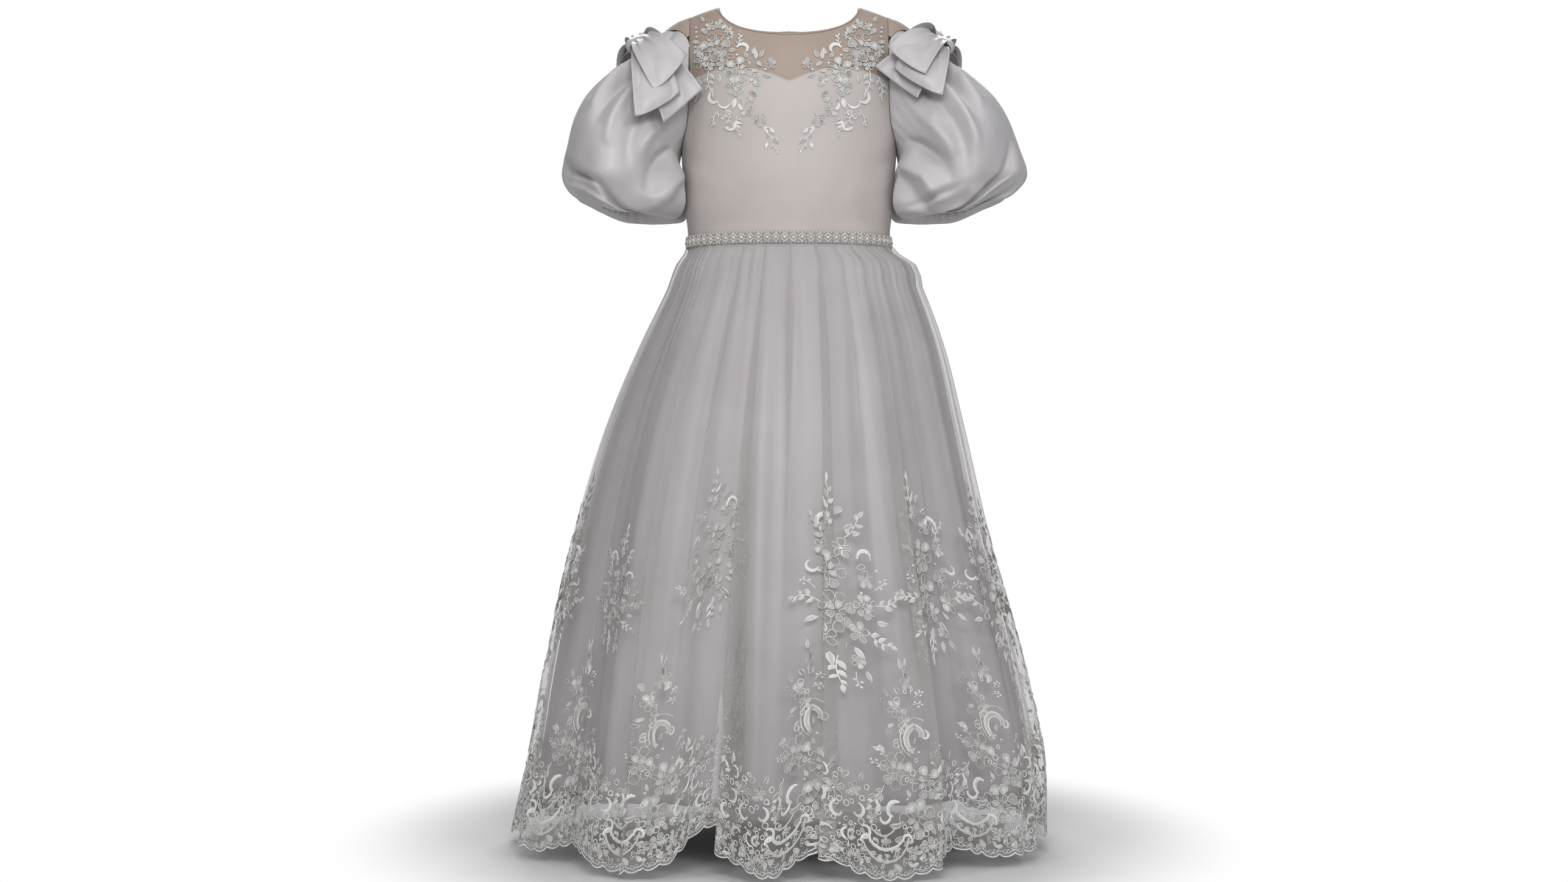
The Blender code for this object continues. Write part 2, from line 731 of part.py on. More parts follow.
def zip_levels():
    """The levels of the back panels' rows at centre back, from the neck down to the waist."""
    satin = satin_top(0, False)
    neck = neck_level(0, NECK_BACK_DROP)
    levels = [neck + (satin - neck) * row / YOKE_ROWS for row in range(YOKE_ROWS)]
    levels[0] += 0.01
    levels += [UNDERARM_LEVEL + (satin - UNDERARM_LEVEL) * share for share in reversed(UPPER_SHARES)]
    return levels + [level_at(0, z) for z in reversed(LOWER_Z)]


def zip_tape(finish):
    """The tape behind centre back, with the closed coil standing in the opening."""
    levels = zip_levels()
    drops = [WAIST_Z - row[0] for row in SKIRT[1:4]]
    half_coil = ZIP_COIL_WIDTH / 2
    columns = (-ZIP_TAPE_HALF_WIDTH, -half_coil, -half_coil * 0.8)
    columns += tuple(-x for x in reversed(columns))
    under_bodice = SATIN_WALL + 2 * SEAM_GAP
    under_skirt = SHEER_WALL + UNDERSKIRT_GAP + SATIN_WALL + 2 * SEAM_GAP

    def point(column, row, out):
        x = columns[column]
        coil = column in (2, 3) and out == 0 and row < len(levels) - 1
        if row < len(levels):
            turn = 180 - turn_at(x)
            depth = under_bodice if row < len(levels) - 1 else under_skirt
            if coil:
                depth = SEAM_GAP
            return torso_out(turn, levels[row], out - depth)
        drop = drops[row - len(levels)]
        turn = 180 - turn_at(x, between(SKIRT, WAIST_Z - drop)[0])
        return moved_out(underskirt, turn, drop, out - under_skirt, SKIRT_STEPS)

    rows = len(levels) + len(drops) - 1
    return cloth_wall("zip_tape", len(columns) - 1, rows, point, SHEER_WALL, finish)


def slider_frame(height):
    """The slider's own directions on centre back: across, down and outwards, this high on it."""
    foot = torso(180, SLIDER_LEVEL)
    out = (torso_out(180, SLIDER_LEVEL, 1.0) - foot).normalized()
    turn = Matrix((ACROSS, out.cross(ACROSS), out)).transposed().to_4x4()
    return Matrix.Translation(foot + out * height) @ turn


def block(name, size, centre):
    mesh = bmesh.new()
    bmesh.ops.create_cube(mesh, size=1.0)
    bmesh.ops.scale(mesh, vec=size, verts=mesh.verts)
    bmesh.ops.translate(mesh, vec=centre, verts=mesh.verts)
    return finished(name, mesh, METAL)


def rod(name, radius, length, height=0.0):
    """A round rod along X."""
    mesh = bmesh.new()
    bmesh.ops.create_cone(
        mesh, cap_ends=True, segments=12, radius1=radius, radius2=radius, depth=length
    )
    quarter = Matrix.Rotation(math.radians(90), 3, "Y")
    bmesh.ops.rotate(mesh, verts=mesh.verts, cent=(0, 0, 0), matrix=quarter)
    bmesh.ops.translate(mesh, vec=(0, 0, height), verts=mesh.verts)
    return finished(name, mesh, METAL)


def join_or_cut(thing, other, operation):
    change = thing.modifiers.new(operation.lower(), "BOOLEAN")
    change.operation = operation
    change.object = other
    other.hide_render = True
    other.display_type = "WIRE"


def zip_slider():
    """The slider's body with the two ears and the pin that carry the pull."""
    width, length, height = SLIDER_BASE
    ear_width, ear_length, ear_top = SLIDER_EAR
    ear_x = PULL_THICKNESS / 2 + PULL_SIDE_GAP + ear_width / 2
    ear_low = SEAM_GAP + height / 2
    body = block("zip_slider", SLIDER_BASE, (0, 0, SEAM_GAP + height / 2))
    ear_size = (ear_width, ear_length, ear_top - ear_low)
    ear_z = (ear_low + ear_top) / 2
    others = [block(f"ear_{side}", ear_size, (side * ear_x, 0, ear_z)) for side in (-1, 1)]
    others.append(rod("pin", PIN_RADIUS, 2 * ear_x, PIN_HEIGHT))
    for other in others:
        join_or_cut(body, other, "UNION")
    for thing in (body, *others):
        thing.matrix_world = slider_frame(0)


def zip_pull():
    """The pull tab, hanging from the pin. Its origin is on the pin's axis."""
    half_neck = 0.45 * PULL_THICKNESS
    outline = [
        (half_neck, PULL_EYE_BORE + 0.0002),
        (half_neck, 0.25 * PULL_LENGTH),
        (PULL_HALF_WIDTH, 0.45 * PULL_LENGTH),
        (PULL_HALF_WIDTH, 0.90 * PULL_LENGTH),
        (0.55 * PULL_HALF_WIDTH, PULL_LENGTH),
    ]
    outline += [(-x, along) for x, along in reversed(outline)]
    mesh = bmesh.new()
    verts = [mesh.verts.new((x, along, -PULL_TAB_WALL / 2)) for x, along in outline]
    face = mesh.faces.new(verts)
    made = bmesh.ops.extrude_face_region(mesh, geom=[face], use_keep_orig=True)
    raised = [part for part in made["geom"] if isinstance(part, bmesh.types.BMVert)]
    bmesh.ops.translate(mesh, vec=(0, 0, PULL_TAB_WALL), verts=raised)
    tab = finished("tab", mesh, METAL)
    pull = rod("zip_pull", PULL_EYE_RADIUS, PULL_THICKNESS)
    bore = rod("bore", PULL_EYE_BORE, 2 * PULL_THICKNESS)
    join_or_cut(pull, tab, "UNION")
    join_or_cut(pull, bore, "DIFFERENCE")
    lean = Matrix.Rotation(math.radians(-PULL_LEAN), 4, "X")
    for thing in (pull, tab, bore):
        thing.matrix_world = slider_frame(PIN_HEIGHT) @ lean


# Build

clear_scene()
SATIN = material("satin", (0.53, 0.49, 0.48), 0.38)
SHEER = material("sheer", (0.55, 0.52, 0.52), 0.6)
NUDE = material("nude_mesh", (0.40, 0.32, 0.27), 0.7)
LACE = material("lace", (0.62, 0.62, 0.63), 0.5)
BEADS = material("beaded_trim", (0.60, 0.57, 0.54), 0.3)
METAL = material("zip_metal", (0.62, 0.62, 0.63), 0.3, 1.0)

bodice("bodice_front", FRONT_SHARES, True, 0, SATIN)
bodice("bodice_back_left", BACK_SHARES, False, 1, SATIN)
bodice("bodice_back_right", BACK_SHARES, False, -1, SATIN)
front_yoke_shares = [-share for share in reversed(YOKE_SHARES[1:])] + YOKE_SHARES
yoke("yoke_front", front_yoke_shares, True, 0, NUDE)
yoke("yoke_back_left", YOKE_SHARES, False, 1, NUDE)
yoke("yoke_back_right", YOKE_SHARES, False, -1, NUDE)
neck_binding(NUDE)
belt(BEADS)
PANELS = (("front", -90, 90), ("back_left", 90, 180), ("back_right", -180, -90))
for panel, first_turn, last_turn in PANELS:
    skirt_panel(f"overskirt_{panel}", first_turn, last_turn, SHEER)
    underskirt_panel(f"underskirt_{panel}", first_turn, last_turn, SATIN)
for side, hand in (("left", 1), ("right", -1)):
    bubble_sleeve(f"sleeve_{side}", hand, SATIN)
    sleeve_cap(f"sleeve_cap_{side}", hand, NUDE)
    cuff(f"cuff_{side}", hand, SATIN)
    applique(f"applique_{side}", hand, LACE)
    bow_knot(f"bow_knot_{side}", hand, SATIN)
for hand, piece, layers, tip, edge, arch, puff, lift in BOW:
    side = "left" if hand > 0 else "right"
    bow_ribbon(f"bow_{piece}_{side}", hand, layers, tip, edge, arch, puff, lift, SATIN)
zip_tape(NUDE)
zip_slider()
zip_pull()
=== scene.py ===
"""A communion dress in satin and sheer net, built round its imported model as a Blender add-on.

Metres, +Z up, the front towards -Y, the wearer's left at +X. The body form, the skirt's and the
sleeves' sections repeat the sizes of the model's own pieces, and each cloth is a grid over them.
"""

import math

import bmesh
import bpy
import numpy as np
from mathutils import Matrix, Vector


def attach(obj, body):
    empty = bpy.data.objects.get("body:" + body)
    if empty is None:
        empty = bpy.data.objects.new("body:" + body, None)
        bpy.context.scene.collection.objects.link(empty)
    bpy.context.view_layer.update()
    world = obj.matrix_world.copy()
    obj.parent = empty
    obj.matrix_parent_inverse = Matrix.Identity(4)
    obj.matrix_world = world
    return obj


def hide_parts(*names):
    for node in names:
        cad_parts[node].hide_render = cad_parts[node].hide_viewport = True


bl_info = {
    "name": "Communion dress",
    "version": (1, 0, 0),
    "blender": (4, 5, 0),
    "location": "View3D > Sidebar > Dress",
    "description": "Makes a communion dress of satin, sheer net and lace, piece by piece",
    "category": "Add Mesh",
}

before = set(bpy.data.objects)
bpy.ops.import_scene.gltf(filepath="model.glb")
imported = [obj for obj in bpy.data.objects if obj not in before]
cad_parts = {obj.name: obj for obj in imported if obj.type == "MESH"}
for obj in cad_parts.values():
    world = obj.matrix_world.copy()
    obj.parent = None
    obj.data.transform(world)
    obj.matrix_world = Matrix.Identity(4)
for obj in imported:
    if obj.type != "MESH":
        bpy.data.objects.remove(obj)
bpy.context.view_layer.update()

# Body form: z, half width, front depth, back depth
CHEST_Z = -0.140
UNDERARM_Z = -0.165
WAIST_Z = -0.271
TORSO = np.array((
    (-0.140, 0.1245, 0.0875, 0.0815),
    (-0.165, 0.1238, 0.0880, 0.0830),
    (-0.200, 0.1212, 0.0878, 0.0826),
    (-0.235, 0.1190, 0.0860, 0.0812),
    (-0.256, 0.1162, 0.0838, 0.0796),
    (-0.271, 0.1155, 0.0830, 0.0790),
))
NECK_HALF_WIDTH = 0.081
NECK_FRONT_DROP = 0.042
NECK_BACK_DROP = 0.020
NECK_POWER = 2.2
# Share of the neck edge that lies in front, and the binding's half width and half height
NECK_FRONT_SHARE = 0.56
NECK_ROLL = (0.0010, 0.0008)
SHOULDER_RISE = 0.0118
SHOULDER_FALL = 1.8
SECTION_POWER = 2.3
# The bodice's creases are measured on a round of this radius, and this far down for each level
TORSO_RADIUS = 0.105
TORSO_LEVEL = 0.131
# Steps in turn and level, turn and drop, along and across, between which a normal is taken
TORSO_STEPS = (0.4, 0.01)
NET_STEPS = (0.02, 0.001)
RIBBON_STEPS = (0.01, 0.1)
ARMHOLE_TURN = 64.0
ARMHOLE_STRAIGHT_LEVEL = 0.85
BACK_SATIN_TOP_Z = -0.088
ZIP_OPENING = 0.0016
# Top edge of the satin front: distance from centre, z
SWEETHEART = np.array((
    (0.0, -0.0962),
    (0.0175, -0.0885),
    (0.034, -0.0832),
    (0.0487, -0.0808),
    (0.066, -0.0792),
    (0.085, -0.0820),
    (0.115, -0.0905),
))

# Skirt sections: z, half width to the left and to the right, front depth, back depth
SKIRT = np.array((
    (-0.271, 0.1155, 0.1155, 0.0830, 0.0790),
    (-0.279, 0.1163, 0.1160, 0.0838, 0.0798),
    (-0.288, 0.1340, 0.1232, 0.0935, 0.0895),
    (-0.327, 0.1540, 0.1400, 0.1125, 0.1085),
    (-0.383, 0.1750, 0.1674, 0.1340, 0.1290),
    (-0.470, 0.1970, 0.2048, 0.1617, 0.1545),
    (-0.600, 0.2271, 0.2451, 0.1946, 0.1861),
    (-0.761, 0.2715, 0.2805, 0.2280, 0.2190),
    (-0.850, 0.2905, 0.2965, 0.2400, 0.2310),
    (-0.943, 0.2934, 0.3166, 0.2500, 0.2410),
))
SKIRT_POWER = 2.05
HEM_Z = -0.943
UNDERSKIRT_HEM_Z = -0.885
# Turn of the seam at centre back
BACK_TURN = 179.9
# Notch in the hem's edge: turns where it begins, is full, and ends, and its height
NOTCH_TURNS = (-22.6, -19.4, -12.3, -10.9)
NOTCH_RISE = 0.016
# The net over the skirt's form, and how much further at the hem
NET_LIFT = 0.0006
NET_FLARE = 0.0008
GATHER_DEPTH = 0.0011
# The satin under it: at the waist, just below it, at the hem, and less at the sides
LINING_UNDER = 0.0024
LINING_SINK = 0.0016
LINING_INSET = 0.020
LINING_SIDE_GAIN = 0.006
# Large folds: turn from centre front, half spread, reach at the hem, rise of the hem
FOLDS = (
    (-170, 15, 0.010, 0.000), (-150, 12, -0.020, 0.010), (-128, 14, 0.010, -0.004),
    (-106, 11, -0.016, 0.008), (-78, 11, -0.014, 0.006), (-52, 10, -0.017, 0.008),
    (-33, 14, 0.010, -0.005), (-15, 9, -0.034, 0.026), (-5, 8, 0.006, -0.006), (5, 9, -0.016, 0.014),
    (22, 15, 0.012, -0.008), (40, 10, -0.019, 0.012), (56, 11, 0.008, -0.004), (72, 10, -0.014, 0.006),
    (96, 12, -0.016, 0.008), (118, 13, 0.010, -0.004), (140, 12, -0.018, 0.010), (160, 12, 0.008, 0.000),
)
# Shares of the fall at which a lap's sizes hold, and how its depth grows with the fall
LAP_FALLS = (0, 0.12, 0.5, 1)
LAP_GROWTH = ((0, 0.04, 0.25, 1), (0.06, 0.14, 0.55, 1.0))
# Laps, where the net folds over itself: turn at the waist and at the hem, half spread, which side
# lies on top, how far it laps below the waist, half way and at the hem (0.32 is no lap yet), depth
LAPS = (
    (-67, -65, 5.0, 1, 0.50, 0.24, 0.16, 0.0030), (-54.5, -51, 5.0, 1, 0.85, 0.62, 0.40, 0.0048),
    (-43, -40, 4.2, -1, 0.36, 0.14, 0.08, 0.0028), (-34.5, -31.5, 3.8, -1, 0.80, 0.66, 0.30, 0.0042),
    (-22, -24.5, 3.4, 1, 0.70, 0.34, 0.12, 0.0034), (-10, -12.2, 4.2, -1, 0.55, 0.86, 1.20, 0.0064),
    (0.5, -2.2, 4.2, 1, 0.66, 0.20, 0.10, 0.0032), (11.5, 7.4, 3.6, -1, 0.78, 0.84, 0.95, 0.0056),
    (21, 18, 3.8, 1, 0.40, 0.12, 0.08, 0.0028), (32, 30, 4.2, 1, 0.86, 0.80, 0.60, 0.0046),
    (43, 41, 4.2, -1, 0.66, 0.36, 0.14, 0.0034), (54, 52, 4.4, -1, 0.36, 0.16, 0.10, 0.0028),
    (64, 62, 4.8, 1, 0.82, 0.52, 0.28, 0.0042), (77, 75, 4.8, -1, 0.60, 0.30, 0.22, 0.0036),
    (100, 98, 5.0, 1, 0.80, 0.64, 0.44, 0.0048), (112, 114, 4.2, -1, 0.44, 0.18, 0.12, 0.0030),
    (125, 126, 4.8, 1, 0.86, 0.70, 0.56, 0.0050), (138, 136, 4.2, 1, 0.48, 0.20, 0.14, 0.0030),
    (150, 149, 4.8, -1, 0.85, 0.64, 0.40, 0.0046), (166, 167, 4.2, 1, 0.70, 0.28, 0.16, 0.0036),
    (-168, -166, 4.2, -1, 0.74, 0.32, 0.20, 0.0036), (-154, -155, 4.8, 1, 0.85, 0.62, 0.42, 0.0046),
    (-142, -141, 4.2, -1, 0.44, 0.20, 0.12, 0.0030), (-129, -128, 4.8, 1, 0.85, 0.70, 0.54, 0.0050),
    (-116, -115, 4.2, -1, 0.54, 0.22, 0.16, 0.0032), (-103, -104, 5.0, 1, 0.80, 0.62, 0.44, 0.0046),
    (-79, -77, 4.8, -1, 0.66, 0.34, 0.26, 0.0038),
)

# Bubble sleeve sections from the armhole to the band: outer x on the right and on the left,
# outer z, inner x, inner z, half depth
SLEEVE = np.array((
    (0.150, 0.150, -0.034, 0.1245, -0.1655, 0.050),
    (0.176, 0.175, -0.058, 0.1256, -0.1780, 0.072),
    (0.206, 0.204, -0.077, 0.1258, -0.1900, 0.088),
    (0.233, 0.235, -0.105, 0.1258, -0.2030, 0.098),
    (0.249, 0.257, -0.140, 0.1256, -0.2150, 0.103),
    (0.256, 0.270, -0.190, 0.1252, -0.2320, 0.101),
    (0.246, 0.252, -0.228, 0.1310, -0.2430, 0.085),
    (0.229, 0.231, -0.238, 0.1430, -0.2445, 0.068),
    (0.219, 0.220, -0.233, 0.1520, -0.2370, 0.053),
    (0.216, 0.217, -0.223, 0.1540, -0.2250, 0.047),
))
SLEEVE_POWER = 2.25
CAP_WIDTH = 0.040
CAP_HALF_TURN = 78.0
CAP_END_TURN = 72.0
# How the cap leaves the armhole: outwards, forwards, down, then its puff and its ripple
CAP_OUT = 0.88
CAP_FORWARD = -0.12
CAP_DOWN = -0.54
CAP_PUFF = 0.0022
CAP_RIPPLE = 0.0010
CUFF_HEIGHT = 0.012
CUFF_INSET = 0.0006
SEAM_STEP = 0.00042
# How strongly the bubble turns at its sections, and the depth of its soft folds and gathers
SLEEVE_SLOPE = 0.9
SLEEVE_SOFT_SHARE = 1.35
SLEEVE_HEAD_GATHER = 0.0022
SLEEVE_BAND_GATHER = 0.0028
SLEEVE_INNER_REACH = 0.0140
SLEEVE_CORNER_LIFT = 0.0115
# Large sleeve creases: side, turn and section at each end, half spread, depth
SLEEVE_CREASES = (
    (-1, 60, 5.0, 30, 7.4, 0.60, 0.012),
    (-1, 135, 2.2, 90, 6.2, 0.65, 0.010),
    (-1, 225, 2.0, 285, 6.2, 0.65, 0.011),
    (1, 120, 6.4, 30, 4.2, 0.65, 0.014),
    (1, 135, 2.0, 105, 5.0, 0.65, 0.010),
    (1, 225, 2.2, 300, 6.0, 0.65, 0.011),
)
BELT_HALF_HEIGHT = 0.0074
BELT_OUT = 0.0019
BELT_SHARE = 0.82
# Beads of the belt: pearls, the lattice's small beads from the edge to the middle, and the edge lines
PEARLS = 66
PEARL_RADIUS = 0.00205
LATTICE_REACH = 0.0047
LATTICE_RADIUS = 0.00110
LATTICE_PARTS = (0.0, 0.3, 0.6, 0.86)
EDGE_BEAD_HEIGHT = 0.0055
EDGE_BEAD_RADIUS = 0.00105
EDGE_BEAD_STEP = 0.0041

# Shoulder bows as on the left side: hand, piece, layers, tip, half width at the tip, arch, puff,
# lift at the knot
BOW_CENTRES = {1: (0.172, -0.026, -0.0472), -1: (0.169, -0.028, -0.0463)}
BOW = (
    (1, "front_tail", 1, (0.1193, -0.072, -0.0978), (0.0234, -0.010, -0.0193), 0.026, 0.0, -0.0053),
    (1, "front_lower_loop", 2, (0.1420, -0.088, -0.1010), (0.0260, -0.010, -0.0168), 0.032, 0.005, -0.0026),
    (1, "front_upper_loop", 2, (0.1277, -0.088, -0.0763), (0.0201, -0.010, -0.0167), 0.025, 0.011, 0.0032),
    (1, "back_lower_loop", 2, (0.1780, 0.066, -0.0670), (0.0220, 0.006, -0.0140), 0.027, 0.005, -0.0026),
    (1, "back_upper_loop", 2, (0.1640, 0.052, -0.0310), (0.0215, 0.004, -0.0150), 0.016, 0.009, 0.0032),
    (-1, "front_tail", 1, (0.1176, -0.084, -0.1262), (0.0212, -0.012, -0.0205), 0.030, 0.0, -0.0053),
    (-1, "front_lower_loop", 2, (0.1447, -0.102, -0.1291), (0.0240, -0.010, -0.0151), 0.034, 0.005, -0.0026),
    (-1, "front_upper_loop", 2, (0.1300, -0.096, -0.0925), (0.0174, -0.008, -0.0206), 0.026, 0.011, 0.0032),
    (-1, "back_lower_loop", 2, (0.1780, 0.066, -0.0710), (0.0220, 0.006, -0.0140), 0.028, 0.005, -0.0026),
    (-1, "back_upper_loop", 2, (0.1640, 0.050, -0.0380), (0.0200, 0.004, -0.0105), 0.015, 0.009, 0.0032),
)
BOW_AXIS = np.array((-0.30, -0.88, -0.34)) / np.linalg.norm((-0.30, -0.88, -0.34))
BOW_UP = np.array((0.30, -0.25, 0.92))
# A ribbon's half width where it leaves the knot, how far in it starts, and half a loop's opening there
BOW_START_HALF_WIDTH = 0.0078
RIBBON_IN_KNOT = 0.0022
BOW_LOOP_END = 0.0022
LOOP_END_ROUNDING = 0.0075
KNOT_RADII = (0.0128, 0.0068)
KNOT_HALF_LENGTH = 0.0090
KNOT_POWER = 2.4
# The ribbon's form: pleats by the knot, bulge, curl of its edges, creases and hem
RIBBON_PLEAT = 0.0013
RIBBON_BULGE = 0.0052
RIBBON_CURL = 0.0011
RIBBON_CREASE = 0.0034
RIBBON_HEM = 0.0003

# Underskirt's own soft folds: turn from centre front, half spread, reach at the hem
UNDERFOLDS = (
    (-80, 14, 0.007), (-58, 9, -0.010), (-43, 11, 0.010), (-27, 7, -0.011), (-16, 9, 0.011),
    (-3, 6, -0.009), (9, 11, 0.011), (23, 6, -0.011), (34, 10, 0.009), (50, 8, -0.011), (66, 12, 0.010),
    (88, 11, -0.010), (108, 13, 0.010), (127, 9, -0.010), (143, 12, 0.010), (162, 10, -0.010),
    (-174, 12, 0.009), (-156, 8, -0.011), (-138, 13, 0.010), (-117, 9, -0.010), (-99, 10, 0.009),
)
# Creases drawn on the bubble by its gathers: turn/30 and section at each end, half spread, height
SLEEVE_SOFT = {
    1: (
        (0.4, 0.2, 1.2, 2.6, 0.20, -0.0075), (0.9, 0.2, 1.7, 2.8, 0.18, 0.0060),
        (1.5, 0.2, 2.2, 3.2, 0.20, -0.0085), (2.1, 0.3, 2.6, 4.0, 0.18, 0.0070),
        (2.6, 0.4, 3.0, 4.6, 0.20, -0.0075), (3.4, 0.6, 3.2, 3.8, 0.18, 0.0050),
        (4.4, 1.2, 3.4, 4.6, 0.24, -0.0100), (5.0, 1.8, 3.8, 5.4, 0.22, 0.0090),
        (5.2, 3.0, 4.2, 6.2, 0.22, -0.0070), (3.4, 6.9, 1.1, 4.5, 0.17, -0.0120),
        (3.6, 7.3, 1.5, 5.2, 0.16, 0.0090), (4.6, 5.4, 3.2, 5.0, 0.20, -0.0070),
        (2.6, 7.2, 0.9, 5.9, 0.20, -0.0080), (3.0, 5.2, 2.2, 6.0, 0.26, 0.0050),
        (0.3, 5.0, 1.0, 7.0, 0.30, 0.0060), (0.0, 6.0, 0.6, 7.6, 0.26, -0.0060),
        (7.4, 1.0, 8.4, 4.8, 0.24, -0.0090), (8.2, 0.4, 9.0, 4.0, 0.20, 0.0070),
        (8.9, 0.3, 9.4, 3.8, 0.20, -0.0080), (9.8, 0.2, 10.0, 4.2, 0.20, 0.0060),
        (10.6, 0.2, 10.4, 3.4, 0.20, -0.0080), (11.4, 0.2, 11.0, 3.0, 0.18, 0.0055),
        (8.4, 6.6, 10.8, 5.4, 0.24, -0.0110), (9.0, 7.2, 10.9, 6.2, 0.20, 0.0080),
    ),
    -1: (
        (0.4, 0.2, 1.0, 2.8, 0.20, -0.0070), (1.0, 0.2, 1.5, 3.0, 0.18, 0.0060),
        (1.6, 0.2, 2.0, 3.4, 0.20, -0.0080), (2.2, 0.3, 2.6, 3.8, 0.18, 0.0060),
        (2.9, 0.5, 3.2, 4.2, 0.20, -0.0070), (3.6, 0.8, 3.6, 3.6, 0.18, 0.0050),
        (4.7, 1.4, 4.0, 4.8, 0.24, -0.0090), (5.2, 2.2, 4.3, 5.6, 0.22, 0.0080),
        (3.2, 4.4, 1.9, 5.6, 0.40, 0.0060), (3.3, 6.5, 2.4, 5.3, 0.15, -0.0100),
        (2.4, 5.3, 0.6, 4.9, 0.15, -0.0110), (2.6, 6.2, 0.9, 5.7, 0.17, 0.0080),
        (2.5, 6.9, 2.1, 7.6, 0.16, -0.0100), (3.9, 7.0, 2.7, 7.4, 0.20, 0.0070),
        (0.2, 4.8, 0.9, 6.8, 0.28, 0.0050), (7.6, 1.0, 8.6, 4.6, 0.24, -0.0090),
        (8.4, 0.4, 9.2, 4.0, 0.20, 0.0070), (9.2, 0.3, 9.6, 3.8, 0.20, -0.0080),
        (10.0, 0.2, 10.2, 4.2, 0.20, 0.0060), (10.8, 0.2, 10.6, 3.2, 0.20, -0.0070),
        (8.6, 6.6, 10.6, 5.6, 0.24, -0.0100), (9.2, 7.2, 10.8, 6.4, 0.20, 0.0070),
    ),
}
# A soft line is shallow at its ends: its depth follows this stretch of half a wave, start and length
CREASE_END = 0.12
CREASE_RUN = 0.76
# Bodice's soft creases, in metres round from centre front and down its level
BODICE_SOFT = (
    (-0.150, 0.158, -0.085, 0.178, 0.010, -0.0016), (0.150, 0.158, 0.088, 0.182, 0.010, -0.0016),
    (-0.120, 0.190, -0.060, 0.205, 0.011, 0.0010), (0.118, 0.196, 0.062, 0.212, 0.011, 0.0010),
    (-0.112, 0.252, -0.040, 0.240, 0.009, -0.0010), (0.112, 0.250, 0.050, 0.236, 0.009, -0.0010),
    (0.012, 0.255, 0.030, 0.190, 0.014, 0.0009), (-0.210, 0.165, -0.270, 0.205, 0.012, -0.0014),
    (0.210, 0.165, 0.268, 0.205, 0.012, -0.0014), (-0.230, 0.250, -0.290, 0.225, 0.010, 0.0012),
    (0.228, 0.250, 0.292, 0.228, 0.010, 0.0012),
)
# Ribbon creases: three times the share along it, share across it, at each end, half spread, height
RIBBON_SOFT = (
    (0.1, 0.3, 0.9, 0.5, 0.16, 1.0), (0.15, -0.3, 0.8, -0.45, 0.16, 0.9),
    (2.2, -0.4, 2.9, -0.2, 0.16, 0.8),
)

# Lace: how light each patch's fill is in turn. These tones are painted sheen and painted shade: lighter
# fills stand for threads that catch the light, darker ones for threads turned away from it
PAINTED_FILL_TONES = (0.88, 0.06, 0.50, 0.22, 0.72, 0.08, 0.38, 0.95, 0.16, 0.58, 0.02, 0.78, 0.42)
OPEN_FILL = 0.18
LACE_LIFT = 0.0002
APPLIQUE_LIFT = 0.0009
CORD_WIDTH = 0.80
CORD_HEIGHT = 0.6
# Petals shorter than this are drawn plainer, in millimetres
SMALL_PETAL = 4.5
BORDER_UNITS = 14
# Width that the border is drawn for, in millimetres, steps of its edge and of each of its cords,
# and how many loops and loose petals follow the edge
BORDER_DRAWN_WIDTH = 165.0
EDGE_STEPS = 96
CORD_STEPS = 12
EDGE_LOOPS = 26
LOOSE_PETALS = 34
SPRAY_SPREAD = 1.3
SPRAY_MIDDLE = 0.29
BORDER_MIDDLE = 0.07
# Cusps of the scalloped edge along one repeat
CUSPS = (0.0, 0.105, 0.235, 0.345, 0.48, 0.60, 0.735, 0.855, 1.0)
